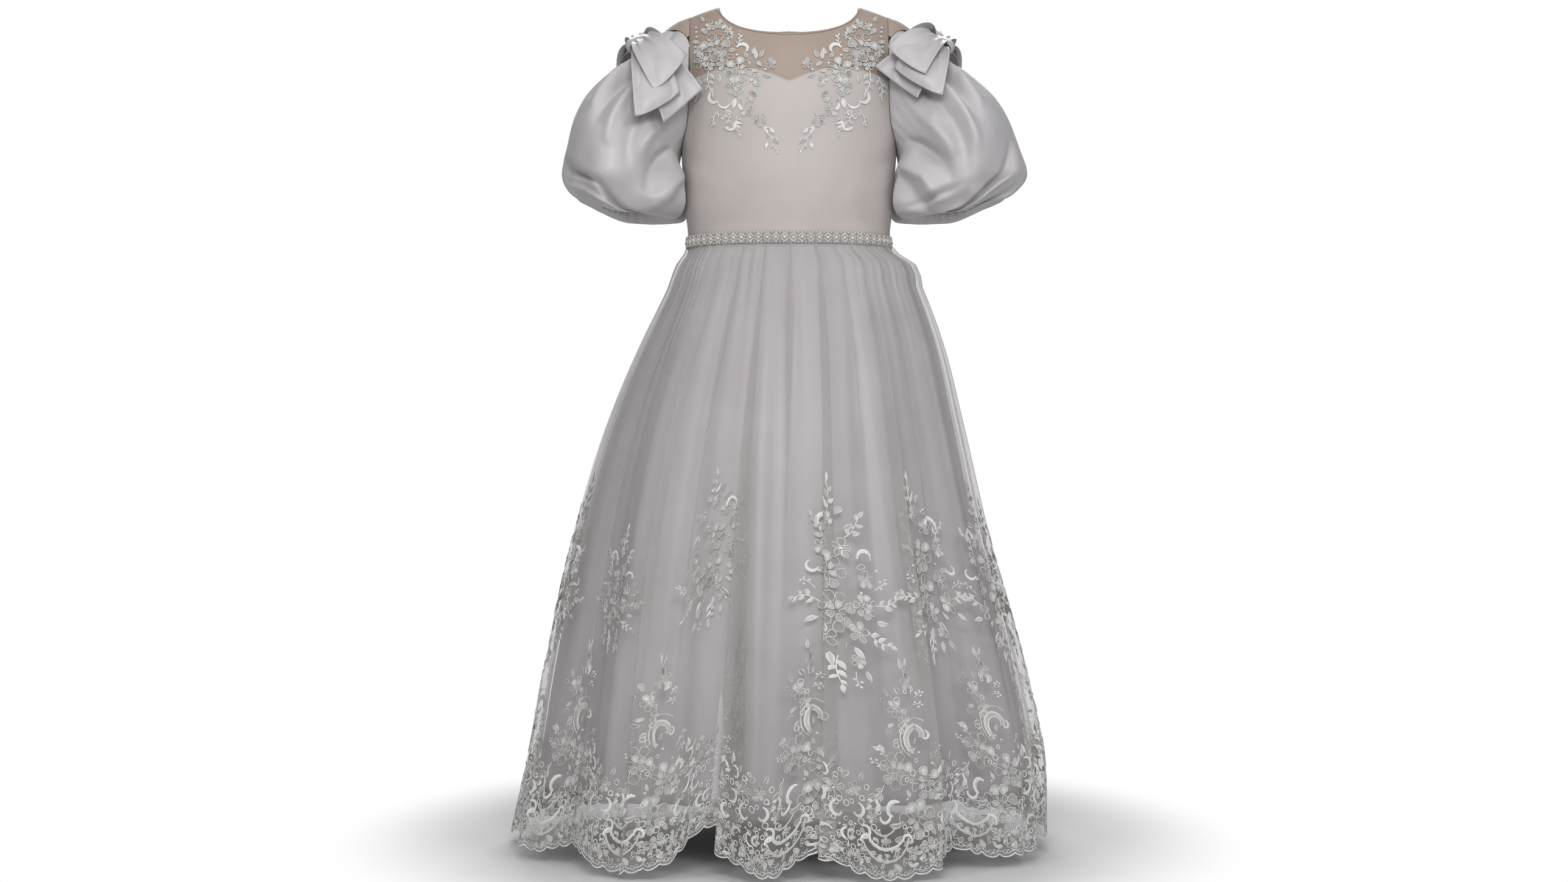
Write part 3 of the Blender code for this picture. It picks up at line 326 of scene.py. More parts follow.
# One repeat of the border: patch, place across and up in millimetres, then its own sizes, and for some a
# tone of painted sheen and shade
BORDER = (
    ("rose", 57, 108, 19, 10), ("rose", 95, 92, 17, 40), ("rose", 82, 56, 20, 20),
    ("flower", 146, 80, 12.5, 6, 15), ("curl", 88, 140, 17, 248, -262, 7.0, 0.40, 0.45, 0.9),
    ("curl", 88, 140, 21.5, 244, -190, 1.2, 0.92, 0.9, 0.9),
    ("curl", 88, 139, 12, 236, -200, 1.2, 0.8, 0.9, 0.9), ("curl", 99, 141, 5, 80, -250, 2.6, 0.5, 0.9),
    ("petal", 88, 140, 240, 8, 6), ("berry", 82, 128), ("berry", 90, 124),
    ("flower", 82, 198, 9.5, 5, 20), ("petal", 78, 208, 70, 9, 5.5), ("leaf", 76, 212, 100, 12, 5),
    ("leaf", 82, 214, 75, 9, 4), ("flower", 62, 172, 9, 5, 50), ("petal", 55, 184, 110, 9, 6),
    ("petal", 50, 178, 150, 8, 5), ("leaf", 70, 186, 120, 10, 5), ("leaf", 86, 184, 60, 10, 5),
    ("flower", 72, 158, 8, 5, 10), ("petal", 60, 156, 200, 9, 6), ("petal", 56, 148, 180, 8, 5.5),
    ("leaf", 64, 140, 210, 9, 5), ("berries", 88, 172, 10, 11), ("berries", 94, 180, 40, 9),
    ("berries", 44, 112, 165, 15), ("berries", 46, 122, 140, 12), ("leaf", 44, 126, 130, 11, 5),
    ("leaf", 38, 128, 160, 9, 4), ("berries", 108, 122, 30, 15), ("berries", 112, 116, 5, 10),
    ("leaf", 36, 86, 235, 12, 5, 0.3), ("leaf", 30, 82, 205, 11, 4), ("leaf", 34, 74, 250, 12, 5, 0.2),
    ("leaf", 26, 70, 215, 9, 4), ("sprig", 40, 92, 232, 24, 3),
    ("curl", 54, 66, 11, 60, 190, 5.2, 0.5, 0.9), ("curl", 40, 60, 9, 20, -200, 3.4, 0.4, 0.95),
    ("leaf", 48, 52, 15, 16, 6, -0.4), ("petal", 112, 66, 20, 11, 8), ("petal", 106, 48, -30, 10, 7),
    ("petal", 64, 40, 210, 10, 7), ("flower", 112, 84, 7, 5, 30),
    ("curl", 128, 74, 10, 240, 220, 3.6, 0.4, 0.8), ("curl", 134, 96, 8, 120, -230, 3.2, 0.4, 0.9),
    ("curl", 120, 52, 9, 90, 250, 3.4, 0.35, 0.9), ("curl", 150, 58, 10, 100, 240, 3.6, 0.35, 0.8),
    ("curl", 158, 36, 8, 300, -240, 3.2, 0.4, 0.9), ("curl", 134, 34, 8, 20, 230, 3.0, 0.4, 0.7),
    ("leaf", 128, 104, 80, 12, 5), ("leaf", 134, 108, 110, 11, 4.5), ("leaf", 122, 98, 130, 10, 4.5),
    ("leaf", 140, 98, 55, 11, 4.5), ("petal", 158, 92, 60, 9, 6), ("petal", 160, 78, 0, 9, 6),
    ("flower", 5, 84, 7.5, 5, 12), ("leaf", 12, 94, 70, 10, 4.5),
    ("curl", 8, 62, 9, 80, -230, 3.4, 0.4, 0.8), ("curl", 16, 44, 9, 260, 220, 3.4, 0.4, 0.9),
    ("curl", 2, 34, 7, 60, 240, 3.0, 0.4, 0.7), ("flower", 26, 58, 6.5, 5, 40), ("berry", 22, 70),
    ("berry", 16, 74), ("berry", 34, 46), ("flower", 95, 27, 9.5, 5, 0), ("flower", 112, 22, 8.5, 5, 30),
    ("flower", 128, 16, 7, 5, 10), ("flower", 78, 22, 7.5, 5, 60), ("flower", 146, 20, 7, 5, 40),
    ("flower", 162, 14, 6, 5, 10), ("flower", 10, 16, 7, 5, 25), ("flower", 100, 11, 5.5, 5, 15),
    ("petal", 118, 34, 60, 9, 6), ("petal", 104, 38, 120, 9, 6), ("petal", 86, 34, 100, 8, 6),
    ("petal", 138, 46, 90, 8, 6), ("leaf", 84, 10, 190, 10, 4.5), ("leaf", 114, 8, 10, 10, 4.5),
    ("leaf", 134, 6, 350, 9, 4), ("leaf", 152, 7, 20, 9, 4),
    ("curl", 43, 40, 27, 188, 168, 2.6, 0.97, 0.5, 0.9),
    ("curl", 43, 50, 24, 200, 140, 3.6, 0.97, 0.8, 0.9),
    ("curl", 40, 56, 16, 205, 130, 2.2, 0.95, 0.5, 0.9), ("flower", 43, 34, 6.5, 5, 18),
    ("petal", 20, 26, 205, 8, 6), ("petal", 24, 17, 225, 8, 6.5), ("petal", 31, 9.5, 245, 7.5, 6.5),
    ("petal", 40, 6, 262, 6.5, 6.5), ("petal", 49, 6.5, 282, 6.5, 6.5), ("petal", 57, 11, 302, 7.5, 6.5),
    ("petal", 64, 18, 320, 8, 6.5), ("petal", 68, 27, 338, 8, 6), ("petal", 30, 24, 220, 6, 5),
    ("petal", 37, 19, 245, 6, 5), ("petal", 45, 18, 275, 6, 5), ("petal", 53, 21, 305, 6, 5),
    ("petal", 58, 27, 330, 6, 5), ("curl", 20, 34, 7, 200, -230, 3.2, 0.4, 1.0),
    ("curl", 68, 36, 7, 340, 230, 3.2, 0.4, 1.0), ("berry", 6, 48), ("berry", 10, 27), ("berry", 142, 10),
    ("berry", 122, 42), ("berry", 150, 44), ("berry", 70, 78), ("leaf", 74, 80, 120, 9, 4),
    ("leaf", 104, 74, 40, 9, 4.5), ("petal", 74, 122, 60, 8, 6), ("petal", 66, 126, 100, 8, 6),
    ("leaf", 110, 100, 60, 11, 5), ("leaf", 116, 94, 20, 10, 4.5), ("berry", 104, 112),
)
# Small loops of cord between the border's flowers
LOOPS = (
    (4, 24), (12, 31), (3, 44), (13, 52), (22, 38), (30, 34), (2, 70), (14, 76), (20, 88), (34, 64),
    (72, 46), (76, 38), (92, 40), (98, 46), (110, 44), (118, 48), (124, 60), (116, 60), (130, 64),
    (138, 58), (144, 50), (142, 68), (152, 70), (158, 50), (150, 34), (142, 28), (160, 26), (124, 28),
    (134, 24), (104, 30), (88, 14), (120, 12), (140, 14), (154, 16), (66, 50), (70, 66), (112, 76),
    (120, 88), (128, 86), (136, 86), (160, 66), (156, 100), (150, 94), (148, 66), (10, 40), (28, 48),
    (76, 96), (78, 104), (70, 98), (60, 134), (68, 148), (74, 168), (66, 180), (78, 188), (90, 190),
    (84, 116), (110, 58),
)
# One spray: from its lower point upwards; some patches carry their own tone of painted sheen and shade
SPRAY = (
    ("rose", 0, 76, 18, 12), ("rose", 4, 112, 17, 34), ("rose", -22, 84, 11, 5),
    ("flower", 26, 66, 10.5, 5, 20), ("flower", 22, 88, 9, 5, 48), ("flower", -16, 60, 9.5, 5, 30),
    ("flower", 8, 52, 10, 5, 10), ("flower", -24, 108, 8, 5, 15), ("flower", 26, 122, 8.5, 5, 40),
    ("flower", -8, 134, 9, 5, 25), ("flower", 14, 140, 8, 5, 0),
    ("curl", 24, 144, 11, 190, -215, 4.6, 0.4, 1.0), ("curl", -26, 128, 9, 350, 220, 3.6, 0.4, 0.8),
    ("flower", 2, 158, 8, 5, 45), ("petal", -6, 164, 120, 9, 6), ("petal", 8, 166, 60, 9, 6),
    ("leaf", -10, 152, 150, 11, 5), ("leaf", 12, 154, 30, 11, 5), ("sprig", 2, 164, 96, 30, 3),
    ("sprig", -10, 144, 128, 26, 3, 0.45), ("sprig", 24, 128, 58, 24, 3, 0.35),
    ("sprig", 32, 72, 18, 24, 3, 0.6), ("berries", 34, 84, 40, 14), ("sprig", -30, 86, 168, 24, 3, 0.5),
    ("berries", -30, 100, 150, 14), ("sprig", -22, 62, 210, 24, 3, 0.7),
    ("leaf", -30, 72, 190, 11, 5, 0.2, 0.4), ("leaf", 34, 58, -20, 11, 5, 0.0, 0.5),
    ("petal", 18, 54, -40, 9, 6), ("petal", -4, 48, 250, 9, 6), ("leaf", 14, 42, -50, 13, 5.5),
    ("leaf", 6, 38, 265, 13, 5.5), ("leaf", -12, 46, 230, 13, 5.5), ("flower", 16, 32, 6.5, 5, 10),
    ("flower", -14, 34, 6.5, 5, 40), ("leaf", 20, 26, -60, 11, 4.5),
    ("leaf", -18, 26, 240, 11, 4.5, 0.0, 0.4), ("sprig", 2, 36, 268, 26, 3, 0.7),
    ("leaf", 14, 22, -85, 12, 4.5), ("berries", -12, 24, 262, 12), ("berry", 30, 100),
    ("berry", -34, 118), ("berry", 20, 104), ("berry", -20, 96), ("petal", 24, 98, 30, 8, 6),
    ("petal", -18, 118, 160, 9, 6), ("curl", 36, 106, 8, 200, 220, 3.0, 0.4, 0.9),
)
# Sprays round the skirt: turn from centre front, height over the hem's line, scale, hand
SPRAYS = (
    (-73, 0.206, 0.80, 1), (-45, 0.212, 0.70, -1), (-19, 0.212, 0.86, 1), (12, 0.178, 1.16, -1),
    (36, 0.194, 1.04, 1), (63, 0.196, 1.02, -1), (90, 0.190, 0.92, 1), (119, 0.206, 1.06, -1),
    (150, 0.196, 0.90, 1), (173, 0.204, 0.78, -1), (-98, 0.196, 1.04, -1), (-124, 0.208, 0.84, 1),
    (-149, 0.190, 1.08, -1), (-172, 0.206, 0.80, 1),
)
# Lace of one shoulder, as on the left: patch, distance from centre, height, then its own sizes, and for some
# a tone of painted sheen and shade
APPLIQUE = (
    ("rose", 83, -55, 16.5, 15), ("rose", 56, -84, 15, 40), ("rose", 60, -102, 11, 10),
    ("flower", 98, -70, 9, 5, 10), ("flower", 20.5, -77, 6.6, 5, 20), ("petal", 30, -80, 40, 8, 6),
    ("petal", 34, -86, 10, 8, 5), ("flower", 38, -94, 6, 5, 50), ("leaf", 29, -90, 200, 9, 4),
    ("leaf", 33, -70, 120, 11, 4.5), ("leaf", 37, -72, 90, 12, 4.5), ("petal", 40, -100, 190, 8, 6),
    ("petal", 44, -108, 215, 10, 7), ("petal", 54, -116, 255, 10, 7), ("petal", 46, -112, 235, 11, 7),
    ("leaf", 60, -116, 280, 12, 6), ("curl", 51, -60, 8, 20, 200, 4.2, 0.45, 0.9),
    ("sprig", 57, -55, 96, 14, 3), ("sprig", 64, -47, 82, 10, 3, 0.5), ("flower", 69, -36, 6, 5, 0),
    ("flower", 78, -27, 6, 5, 30), ("leaf", 76, -33, 140, 7, 3.5), ("flower", 88, -28, 6.5, 5, 15),
    ("leaf", 96, -22, 60, 9, 4), ("petal", 72, -38, 150, 9, 6), ("petal", 92, -38, 50, 10, 7),
    ("petal", 100, -48, 20, 9, 6), ("flower", 102, -56, 6, 5, 40), ("petal", 70, -66, 200, 9, 6),
    ("leaf", 68, -60, 180, 10, 4.5), ("flower", 74, -76, 7.5, 5, 5),
    ("leaf", 78, -88, 270, 10, 4.5, 0.0, 0.3), ("sprig", 90, -82, 262, 24, 3, 0.3),
    ("sprig", 100, -88, 280, 22, 3, 0.35), ("curl", 82, -114, 9, 70, -210, 4.0, 0.45, 0.8),
    ("curl", 74, -118, 10, 200, 150, 2.6, 0.5, 0.9), ("leaf", 88, -104, 250, 11, 4.5, 0.0, 0.3),
    ("flower", 47, -129, 8, 5, 20), ("leaf", 56, -122, 250, 9, 4), ("flower", 32, -141, 7.5, 5, 50),
    ("petal", 40, -134, 230, 7, 5), ("leaf", 27, -148, 250, 10, 5), ("leaf", 22, -150, 225, 9, 4.5),
    ("sprig", 20, -160, 246, 16, 2), ("leaf", 24, -166, 285, 8, 3.5), ("sprig", 27, -148, 236, 17, 2),
    ("leaf", 17, -160, 235, 10, 5), ("sprig", 70, -126, 250, 20, 3, 0.4),
    ("sprig", 78, -128, 295, 16, 2, 0.3), ("curl", 66, -146, 7, 150, 200, 3.0, 0.5, 0.9),
    ("sprig", 58, -136, 262, 19, 3), ("leaf", 60, -142, 200, 9, 4), ("petal", 72, -148, 200, 8, 5),
    ("petal", 82, -144, 20, 7, 5), ("berry", 74, -138), ("berry", 66, -134), ("berry", 44, -76),
    ("berry", 90, -46), ("berry", 68, -46), ("berry", 104, -40), ("berry", 104.5, -34),
    ("berry", 105, -28.5), ("berry", 105, -46), ("berry", 105.5, -52), ("berry", 26, -84),
    ("berry", 58, -66), ("leaf", 46, -70, 60, 9, 4), ("leaf", 41, -66, 110, 9, 4),
    ("petal", 96, -60, 340, 9, 7), ("flower", 89, -76, 6.5, 5, 30),
)

# Lamps: place, size, power, colour
LIGHTS = (
    ("front", (0.03, -2.35, 0.62), (1.1, 0.7), 33.0, (1.0, 0.99, 0.98)),
    ("key", (-1.7, -1.9, 1.0), (0.9, 0.7), 10.0, (1.0, 0.985, 0.97)),
    ("fill", (1.7, -1.9, 1.0), (0.9, 0.7), 15.0, (0.96, 0.975, 1.0)),
    ("top", (0.0, -0.9, 1.9), (1.2, 0.8), 8.0, (0.97, 0.98, 1.0)),
    ("back", (0.0, 2.4, 1.2), (1.8, 1.0), 46.0, (1.0, 1.0, 1.0)),
)

LIGHT_TARGET = (0.0, 0.0, -0.48)
# Floor that keeps its own shade: reach across and along, how far behind the dress its middle lies,
# and the shares of the reach over which it fades to white
FLOOR_COLOR = (0.70, 0.70, 0.70, 1.0)
FLOOR_HALF_SIZE = 14.0
SHADE_REACH = (0.35, 0.40)
SHADE_CENTRE = 0.08
SHADE_FADE = (0.95, 1.55)
WORLD_COLOR = (0.94, 0.96, 1.0, 1.0)
WHITE = (1.0, 1.0, 1.0, 1.0)
CAMERA_PLACE = (-0.0056, -2.6, -0.498)
CAMERA_LENS = 51.9
CAMERA_SENSOR = 36.0
CAMERA_NEAR = 0.05

SIDES = {1: "left", -1: "right"}

# Walls of the drawn cloths
SATIN_WALL = 0.0012
BELT_WALL = 0.0010
LINING_WALL = 0.0008
RIBBON_WALL = 0.0006
SHEER_WALL = 0.0004
SEAM_JOIN = 0.00002

# Cells of each cloth's grid, across and up it. A back panel has half as many across.
BODICE_CELLS = (100, 50)
YOKE_CELLS = (100, 30)
NECK_CELLS = (240, 8)
UNDERSKIRT_CELLS_PER_DEGREE = 1.7
UNDERSKIRT_ROWS = 50
OVERSKIRT_FRONT_COLUMNS = 880
OVERSKIRT_BACK_COLUMNS = 400
OVERSKIRT_ROWS = 52
BELT_CELLS = (300, 4)
SLEEVE_CELLS = (190, 90)
CAP_CELLS = (60, 16)
CUFF_CELLS = (120, 5)
TAIL_CELLS = (40, 24)
LOOP_CELLS = (70, 24)
KNOT_CELLS = (60, 16)

# Threads of the cloths, and how far apart the bands of a wave texture of scale 1 lie
SATIN_THREAD = 0.00045
LINING_THREAD = 0.0005
NET_THREAD = 0.0004
NUDE_THREAD = 0.0006
BAND_THREAD = 0.0008
ZIP_THREAD = 0.0007
STITCH_THREAD = 0.0010
WAVE_STEP = 0.314
BELT_GROUND = (0.32, 0.31, 0.30)
BELT_GROUND_SHADE = (0.26, 0.25, 0.24)
NUDE_COVER = 0.92
NUDE_BACK_COVER = 0.56
PEARL_TONES = ((0.3, (0.52, 0.49, 0.46)), (0.7, (0.74, 0.71, 0.68)))
ZIP_FINISHES = {"zip_slider": "zip_metal", "zip_pull": "zip_metal", "zip_tape": "zip_cloth"}
ZIP_METAL = (0.72, 0.71, 0.70)
ZIP_ROUGHNESS = (0.20, 0.42)


# Places on the form


def places(x, y, z):
    """Places from their three sizes, as one array."""
    return np.stack(np.broadcast_arrays(x, y, z), axis=-1)


def unit(lines):
    """Lines brought to a length of 1."""
    return lines / np.maximum(np.linalg.norm(lines, axis=-1, keepdims=True), 1e-9)


def cubic(share, first, last, first_slope, last_slope, width=1.0):
    """The way from one value to the next, leaving and reaching each at its own slope."""
    value = (2 * share**3 - 3 * share**2 + 1) * first + (3 * share**2 - 2 * share**3) * last
    value += (share**3 - 2 * share**2 + share) * width * first_slope
    value += (share**3 - share**2) * width * last_slope
    return value


def between(table, at):
    """The table's columns at values of its first one, eased through the rows."""
    rows = table[np.argsort(table[:, 0])]
    slopes = np.gradient(rows[:, 1:], rows[:, 0], axis=0)
    at = np.clip(at, rows[0, 0], rows[-1, 0])
    index = np.clip(np.searchsorted(rows[:, 0], at) - 1, 0, len(rows) - 2)
    first, last = rows[index], rows[index + 1]
    width = (last[..., 0] - first[..., 0])[..., None]
    share = (at - first[..., 0])[..., None] / width
    found = cubic(share, first[..., 1:], last[..., 1:], slopes[index], slopes[index + 1], width)
    return np.moveaxis(found, -1, 0)


def eased(share):
    """A share held between 0 and 1, with soft ends."""
    share = np.clip(share, 0, 1)
    return share * share * (3 - 2 * share)


def sin_of(degrees):
    """The sine of an angle in degrees."""
    return np.sin(np.radians(degrees))


def cos_of(degrees):
    """The cosine of an angle in degrees."""
    return np.cos(np.radians(degrees))


def turn_between(turn, centre):
    """Degrees from a centre to a turn, the short way round."""
    return (turn - centre + 180) % 360 - 180


def rounded(angle, power):
    """Across and along shares of a rounded section at an angle from its front."""
    across, along = sin_of(angle), cos_of(angle)
    return (
        np.copysign(np.abs(across) ** (2 / power), across),
        np.copysign(np.abs(along) ** (2 / power), along),
    )


def steps_along(line):
    """The distance from each of a line's places to the next."""
    return np.linalg.norm(np.diff(line, axis=0), axis=1)


def lengths_along(line):
    """How far along a line each of its places lies."""
    return np.concatenate(((0.0,), np.cumsum(steps_along(line))))


def moved_out(surface, first, second, out, steps):
    """Places of surface(first, second), moved along its normal."""
    along_first = surface(first + steps[0], second) - surface(first - steps[0], second)
    along_second = surface(first, second + steps[1]) - surface(first, second - steps[1])
    normal = unit(np.cross(along_second, along_first))
    return surface(first, second) + normal * np.asarray(out)[..., None]


def soft_lines(first, second, table):
    """Soft troughs and ridges, each along a line: both ends, half spread, depth outwards."""
    total = np.zeros(np.broadcast(first, second).shape)
    for first_a, second_a, first_b, second_b, spread, depth in table:
        run = (first_b - first_a, second_b - second_a)
        share = ((first - first_a) * run[0] + (second - second_a) * run[1]) / (run[0] ** 2 + run[1] ** 2)
        share = np.clip(share, 0, 1)
        away = np.hypot(first - first_a - run[0] * share, second - second_a - run[1] * share) / spread
        total = total + depth * np.exp(-(away**2)) * np.sin(np.pi * (CREASE_END + CREASE_RUN * share))
    return total


def torso(turn, level):
    """The body form: turn in degrees from centre front, level 0 at the shoulder, 1 at the chest
    and 2 at the waist."""
    turn, level = np.broadcast_arrays(np.asarray(turn, float), np.asarray(level, float))
    z = np.minimum(CHEST_Z - (level - 1) * (CHEST_Z - WAIST_Z), CHEST_Z)
    half_width, front, back = between(TORSO, z)
    across, along = rounded(turn, SECTION_POWER)
    x = half_width * across
    y = -along * np.where(along > 0, front, back)
    lean = np.radians(90 * np.minimum(level, 1))
    top = SHOULDER_RISE - SHOULDER_FALL * x * x
    upper = level < 1
    y = np.where(upper, y * np.sin(lean), y)
    z = np.where(upper, top - (top - CHEST_Z) * (1 - np.cos(lean)), z)
    return places(x, y, z)


def torso_out(turn, level, out):
    """A place over the body form, moved out along its normal."""
    return moved_out(torso, turn, level, out, TORSO_STEPS)


def level_at(x, z):
    """The level at which the body form is at this height, at a distance from centre."""
    top = SHOULDER_RISE - SHOULDER_FALL * np.square(x)
    upper = np.degrees(np.arccos(np.clip(1 - (top - z) / (top - CHEST_Z), -1, 1))) / 90
    return np.where(z < CHEST_Z, 1 + (CHEST_Z - z) / (CHEST_Z - WAIST_Z), upper)


def turn_at(x, half_width=TORSO[0, 1]):
    """The turn at a distance from centre, on a section this wide."""
    share = np.minimum(np.abs(x) / half_width, 1) ** (SECTION_POWER / 2)
    return np.copysign(np.degrees(np.arcsin(np.minimum(share, 1))), x)


def form_at(x, z, out, front=True):
    """A place over the body form at a distance from centre and a height."""
    half_width = between(TORSO, np.minimum(z, CHEST_Z))[0]
    turn = turn_at(x, half_width)
    return torso_out(turn if front else 180 - turn, level_at(x, z), out)


UNDERARM_LEVEL = float(level_at(0.0, UNDERARM_Z))


def armhole_turn(level):
    """The turn of the armhole's edge at a level."""
    share = (level - ARMHOLE_STRAIGHT_LEVEL) / (UNDERARM_LEVEL - ARMHOLE_STRAIGHT_LEVEL)
    share = np.clip(share, 0, 1)
    return ARMHOLE_TURN + (90 - ARMHOLE_TURN) * (1 - np.sqrt(1 - share**2))


def neck_level(turn, drop):
    """The level of the neck's edge at a turn, 0 beyond it."""
    x = np.abs(torso(turn, 0)[..., 0])
    scoop = np.maximum(1 - (x / NECK_HALF_WIDTH) ** NECK_POWER, 0) ** (1 / NECK_POWER)
    return np.where(x < NECK_HALF_WIDTH, level_at(x, -drop * scoop), 0.0)


def satin_top(turn, front):
    """The level of the satin's upper edge at a turn."""
    x = np.abs(torso(turn, 0)[..., 0])
    z = np.interp(x, SWEETHEART[:, 0], SWEETHEART[:, 1]) if front else np.full_like(x, BACK_SATIN_TOP_Z)
    return level_at(x, z)


def fold_swell(turn, centre, spread):
    """The share of a fold's depth at a turn."""
    away = np.minimum(np.abs(turn_between(turn, centre)) / spread, 1)
    return np.cos(np.pi / 2 * away) ** 2


def fold_reach(turn):
    """How far the large folds carry the hem outwards, and how far they raise its edge."""
    reach = np.zeros_like(turn)
    rise = np.zeros_like(turn)
    for centre, spread, depth, lift in FOLDS:
        swell = fold_swell(turn, centre, spread)
        reach += depth * swell
        rise += lift * swell
    return reach, rise


def skirt(turn, drop, fold_share=1.0, inset=0.0, more=0.0):
    """The skirt's form: turn in degrees from centre front, drop below the waist."""
    turn, drop = np.broadcast_arrays(np.asarray(turn, float), np.asarray(drop, float))
    z = WAIST_Z - drop
    left, right, front, back = between(SKIRT, z)
    fall = np.clip(drop / (WAIST_Z - HEM_Z), 0, 1)
    across, along = rounded(turn, SECTION_POWER + (SKIRT_POWER - SECTION_POWER) * fall**0.5)
    flat = places(across * np.where(across > 0, left, right), -along * np.where(along > 0, front, back), 0.0)
    reach = fold_reach(turn)[0] * fall**1.1 * fold_share - inset * fall**0.8 + more
    return flat + unit(flat) * reach[..., None] + places(0.0, 0.0, z)


def lapped(turn, fall):
    """The turn of net that is lapped over itself, and how far out its layers lie."""
    bent = turn.copy()
    reach = np.zeros_like(turn)
    for waist_turn, hem_turn, spread, side, at_waist, at_middle, at_hem, depth in LAPS:
        centre = waist_turn + (hem_turn - waist_turn) * fall
        away = turn_between(turn, centre) / spread
        inside = np.abs(away) < 1
        wave = np.sin(np.pi * away) * inside
        lap = np.interp(fall, LAP_FALLS, (at_waist * 0.6, at_waist, at_middle, at_hem))
        bent -= spread * lap * wave
        growth = np.interp(fall, *LAP_GROWTH)
        reach += depth * growth * ((1 - away**4) * inside - side * wave)
    return bent, reach


def gathers(turn, drop, seed=0.0):
    """Fine uneven gathers that leave the waist seam and fade down the skirt."""
    ripple = np.sin(np.radians(turn * 61) + 2.1 * sin_of(turn * 7 + seed) + 1.3 * sin_of(turn * 13))
    ripple += 0.7 * np.sin(np.radians(turn * 37 + seed) + 1.7 * sin_of(turn * 5))
    length = 0.075 + 0.045 * sin_of(turn * 19 + seed) + 0.02 * sin_of(turn * 43)
    rise = np.clip((drop - 0.004) / 0.016, 0, 1)
    return GATHER_DEPTH * ripple * rise * np.exp(-drop / length)


def overskirt(turn, drop):
    """The net's form over the skirt, with its laps and gathers."""
    fall = np.clip(drop / (WAIST_Z - HEM_Z), 0, 1)
    bent, reach = lapped(turn, fall)
    return skirt(bent, drop, more=reach + NET_LIFT + gathers(turn, drop) + NET_FLARE * fall**0.5)


def hem_drop(turn):
    """How far the net falls at each turn, its scallops left out."""
    notch = eased(np.interp(turn, NOTCH_TURNS, (0.0, 1.0, 1.0, 0.0)))
    return WAIST_Z - HEM_Z - fold_reach(turn)[1] - NOTCH_RISE * notch


def underskirt(turn, drop):
    """The satin's form under the net, with its own soft folds."""
    fall = np.clip(drop / (WAIST_Z - HEM_Z), 0, 1)
    more = -LINING_UNDER + gathers(turn, drop, 50.0) * 0.9 - LINING_SINK * np.clip(drop / 0.02, 0, 1)
    for centre, spread, depth in UNDERFOLDS:
        more = more + depth * fold_swell(turn, centre, spread) * fall**0.8
    return skirt(turn, drop, 0.5, LINING_INSET - LINING_SIDE_GAIN * sin_of(turn) ** 4, more)


def armhole(around):
    """The armhole edge on the left side: 0 at the shoulder, 90 in front, 180 under the arm."""
    level = UNDERARM_LEVEL * (1 - np.cos(np.radians(around))) / 2
    turn = armhole_turn(level)
    return torso(np.where(around % 360 > 180, 180 - turn, turn), level)


def cap_edge(around):
    """The outer edge of the sheer cap, where the bubble begins."""
    share = cos_of(90 * np.minimum(np.abs(turn_between(around, 0)) / CAP_HALF_TURN, 1.0))
    reach = CAP_WIDTH * np.maximum(share, 0) ** 1.2
    forward = CAP_FORWARD * sin_of(around)
    return armhole(around) + places(CAP_OUT * reach, forward * reach, CAP_DOWN * reach)


def sleeve_middle(hand, section):
    """The middle of the bubble at each section."""
    rows = np.arange(len(SLEEVE))
    outer_x = np.interp(section, rows, SLEEVE[:, 1 if hand > 0 else 0])
    inner_x, outer_z, inner_z = (np.interp(section, rows, SLEEVE[:, column]) for column in (3, 2, 4))
    return places((outer_x + inner_x) / 2, 0.0, (outer_z + inner_z) / 2)


def sleeve_ring(hand, row, around):
    """Places round one section of the bubble."""
    right, left, outer_z, inner_x, inner_z, half_depth = row
    depth_share, height_share = rounded(around, SLEEVE_POWER)
    outer_x = left if hand > 0 else right
    x = (outer_x + inner_x) / 2 + (outer_x - inner_x) / 2 * height_share
    z = (outer_z + inner_z) / 2 + (outer_z - inner_z) / 2 * height_share
    return places(x, -half_depth * depth_share, z)


def picked(stack, index):
    """From a stack of rings, each place's own one."""
    return np.take_along_axis(stack, index[None, ..., None], axis=0)[0]


def sleeve_creases(hand, turn, section):
    """How far the bubble's large creases, soft folds and gathers sink into it."""
    depth = np.zeros_like(section)
    for side, turn_a, section_a, turn_b, section_b, spread, deep in SLEEVE_CREASES:
        if side == hand:
            crease = (turn_a / 30, section_a, turn_b / 30, section_b, spread, deep)
            depth += soft_lines(turn / 30, section, (crease,))
    depth -= SLEEVE_SOFT_SHARE * soft_lines(turn / 30, section, SLEEVE_SOFT[hand])
    depth -= SLEEVE_SOFT_SHARE * soft_lines(turn / 30 - 12, section, SLEEVE_SOFT[hand])
    depth -= sleeve_gathers(turn, section, hand)
    return depth


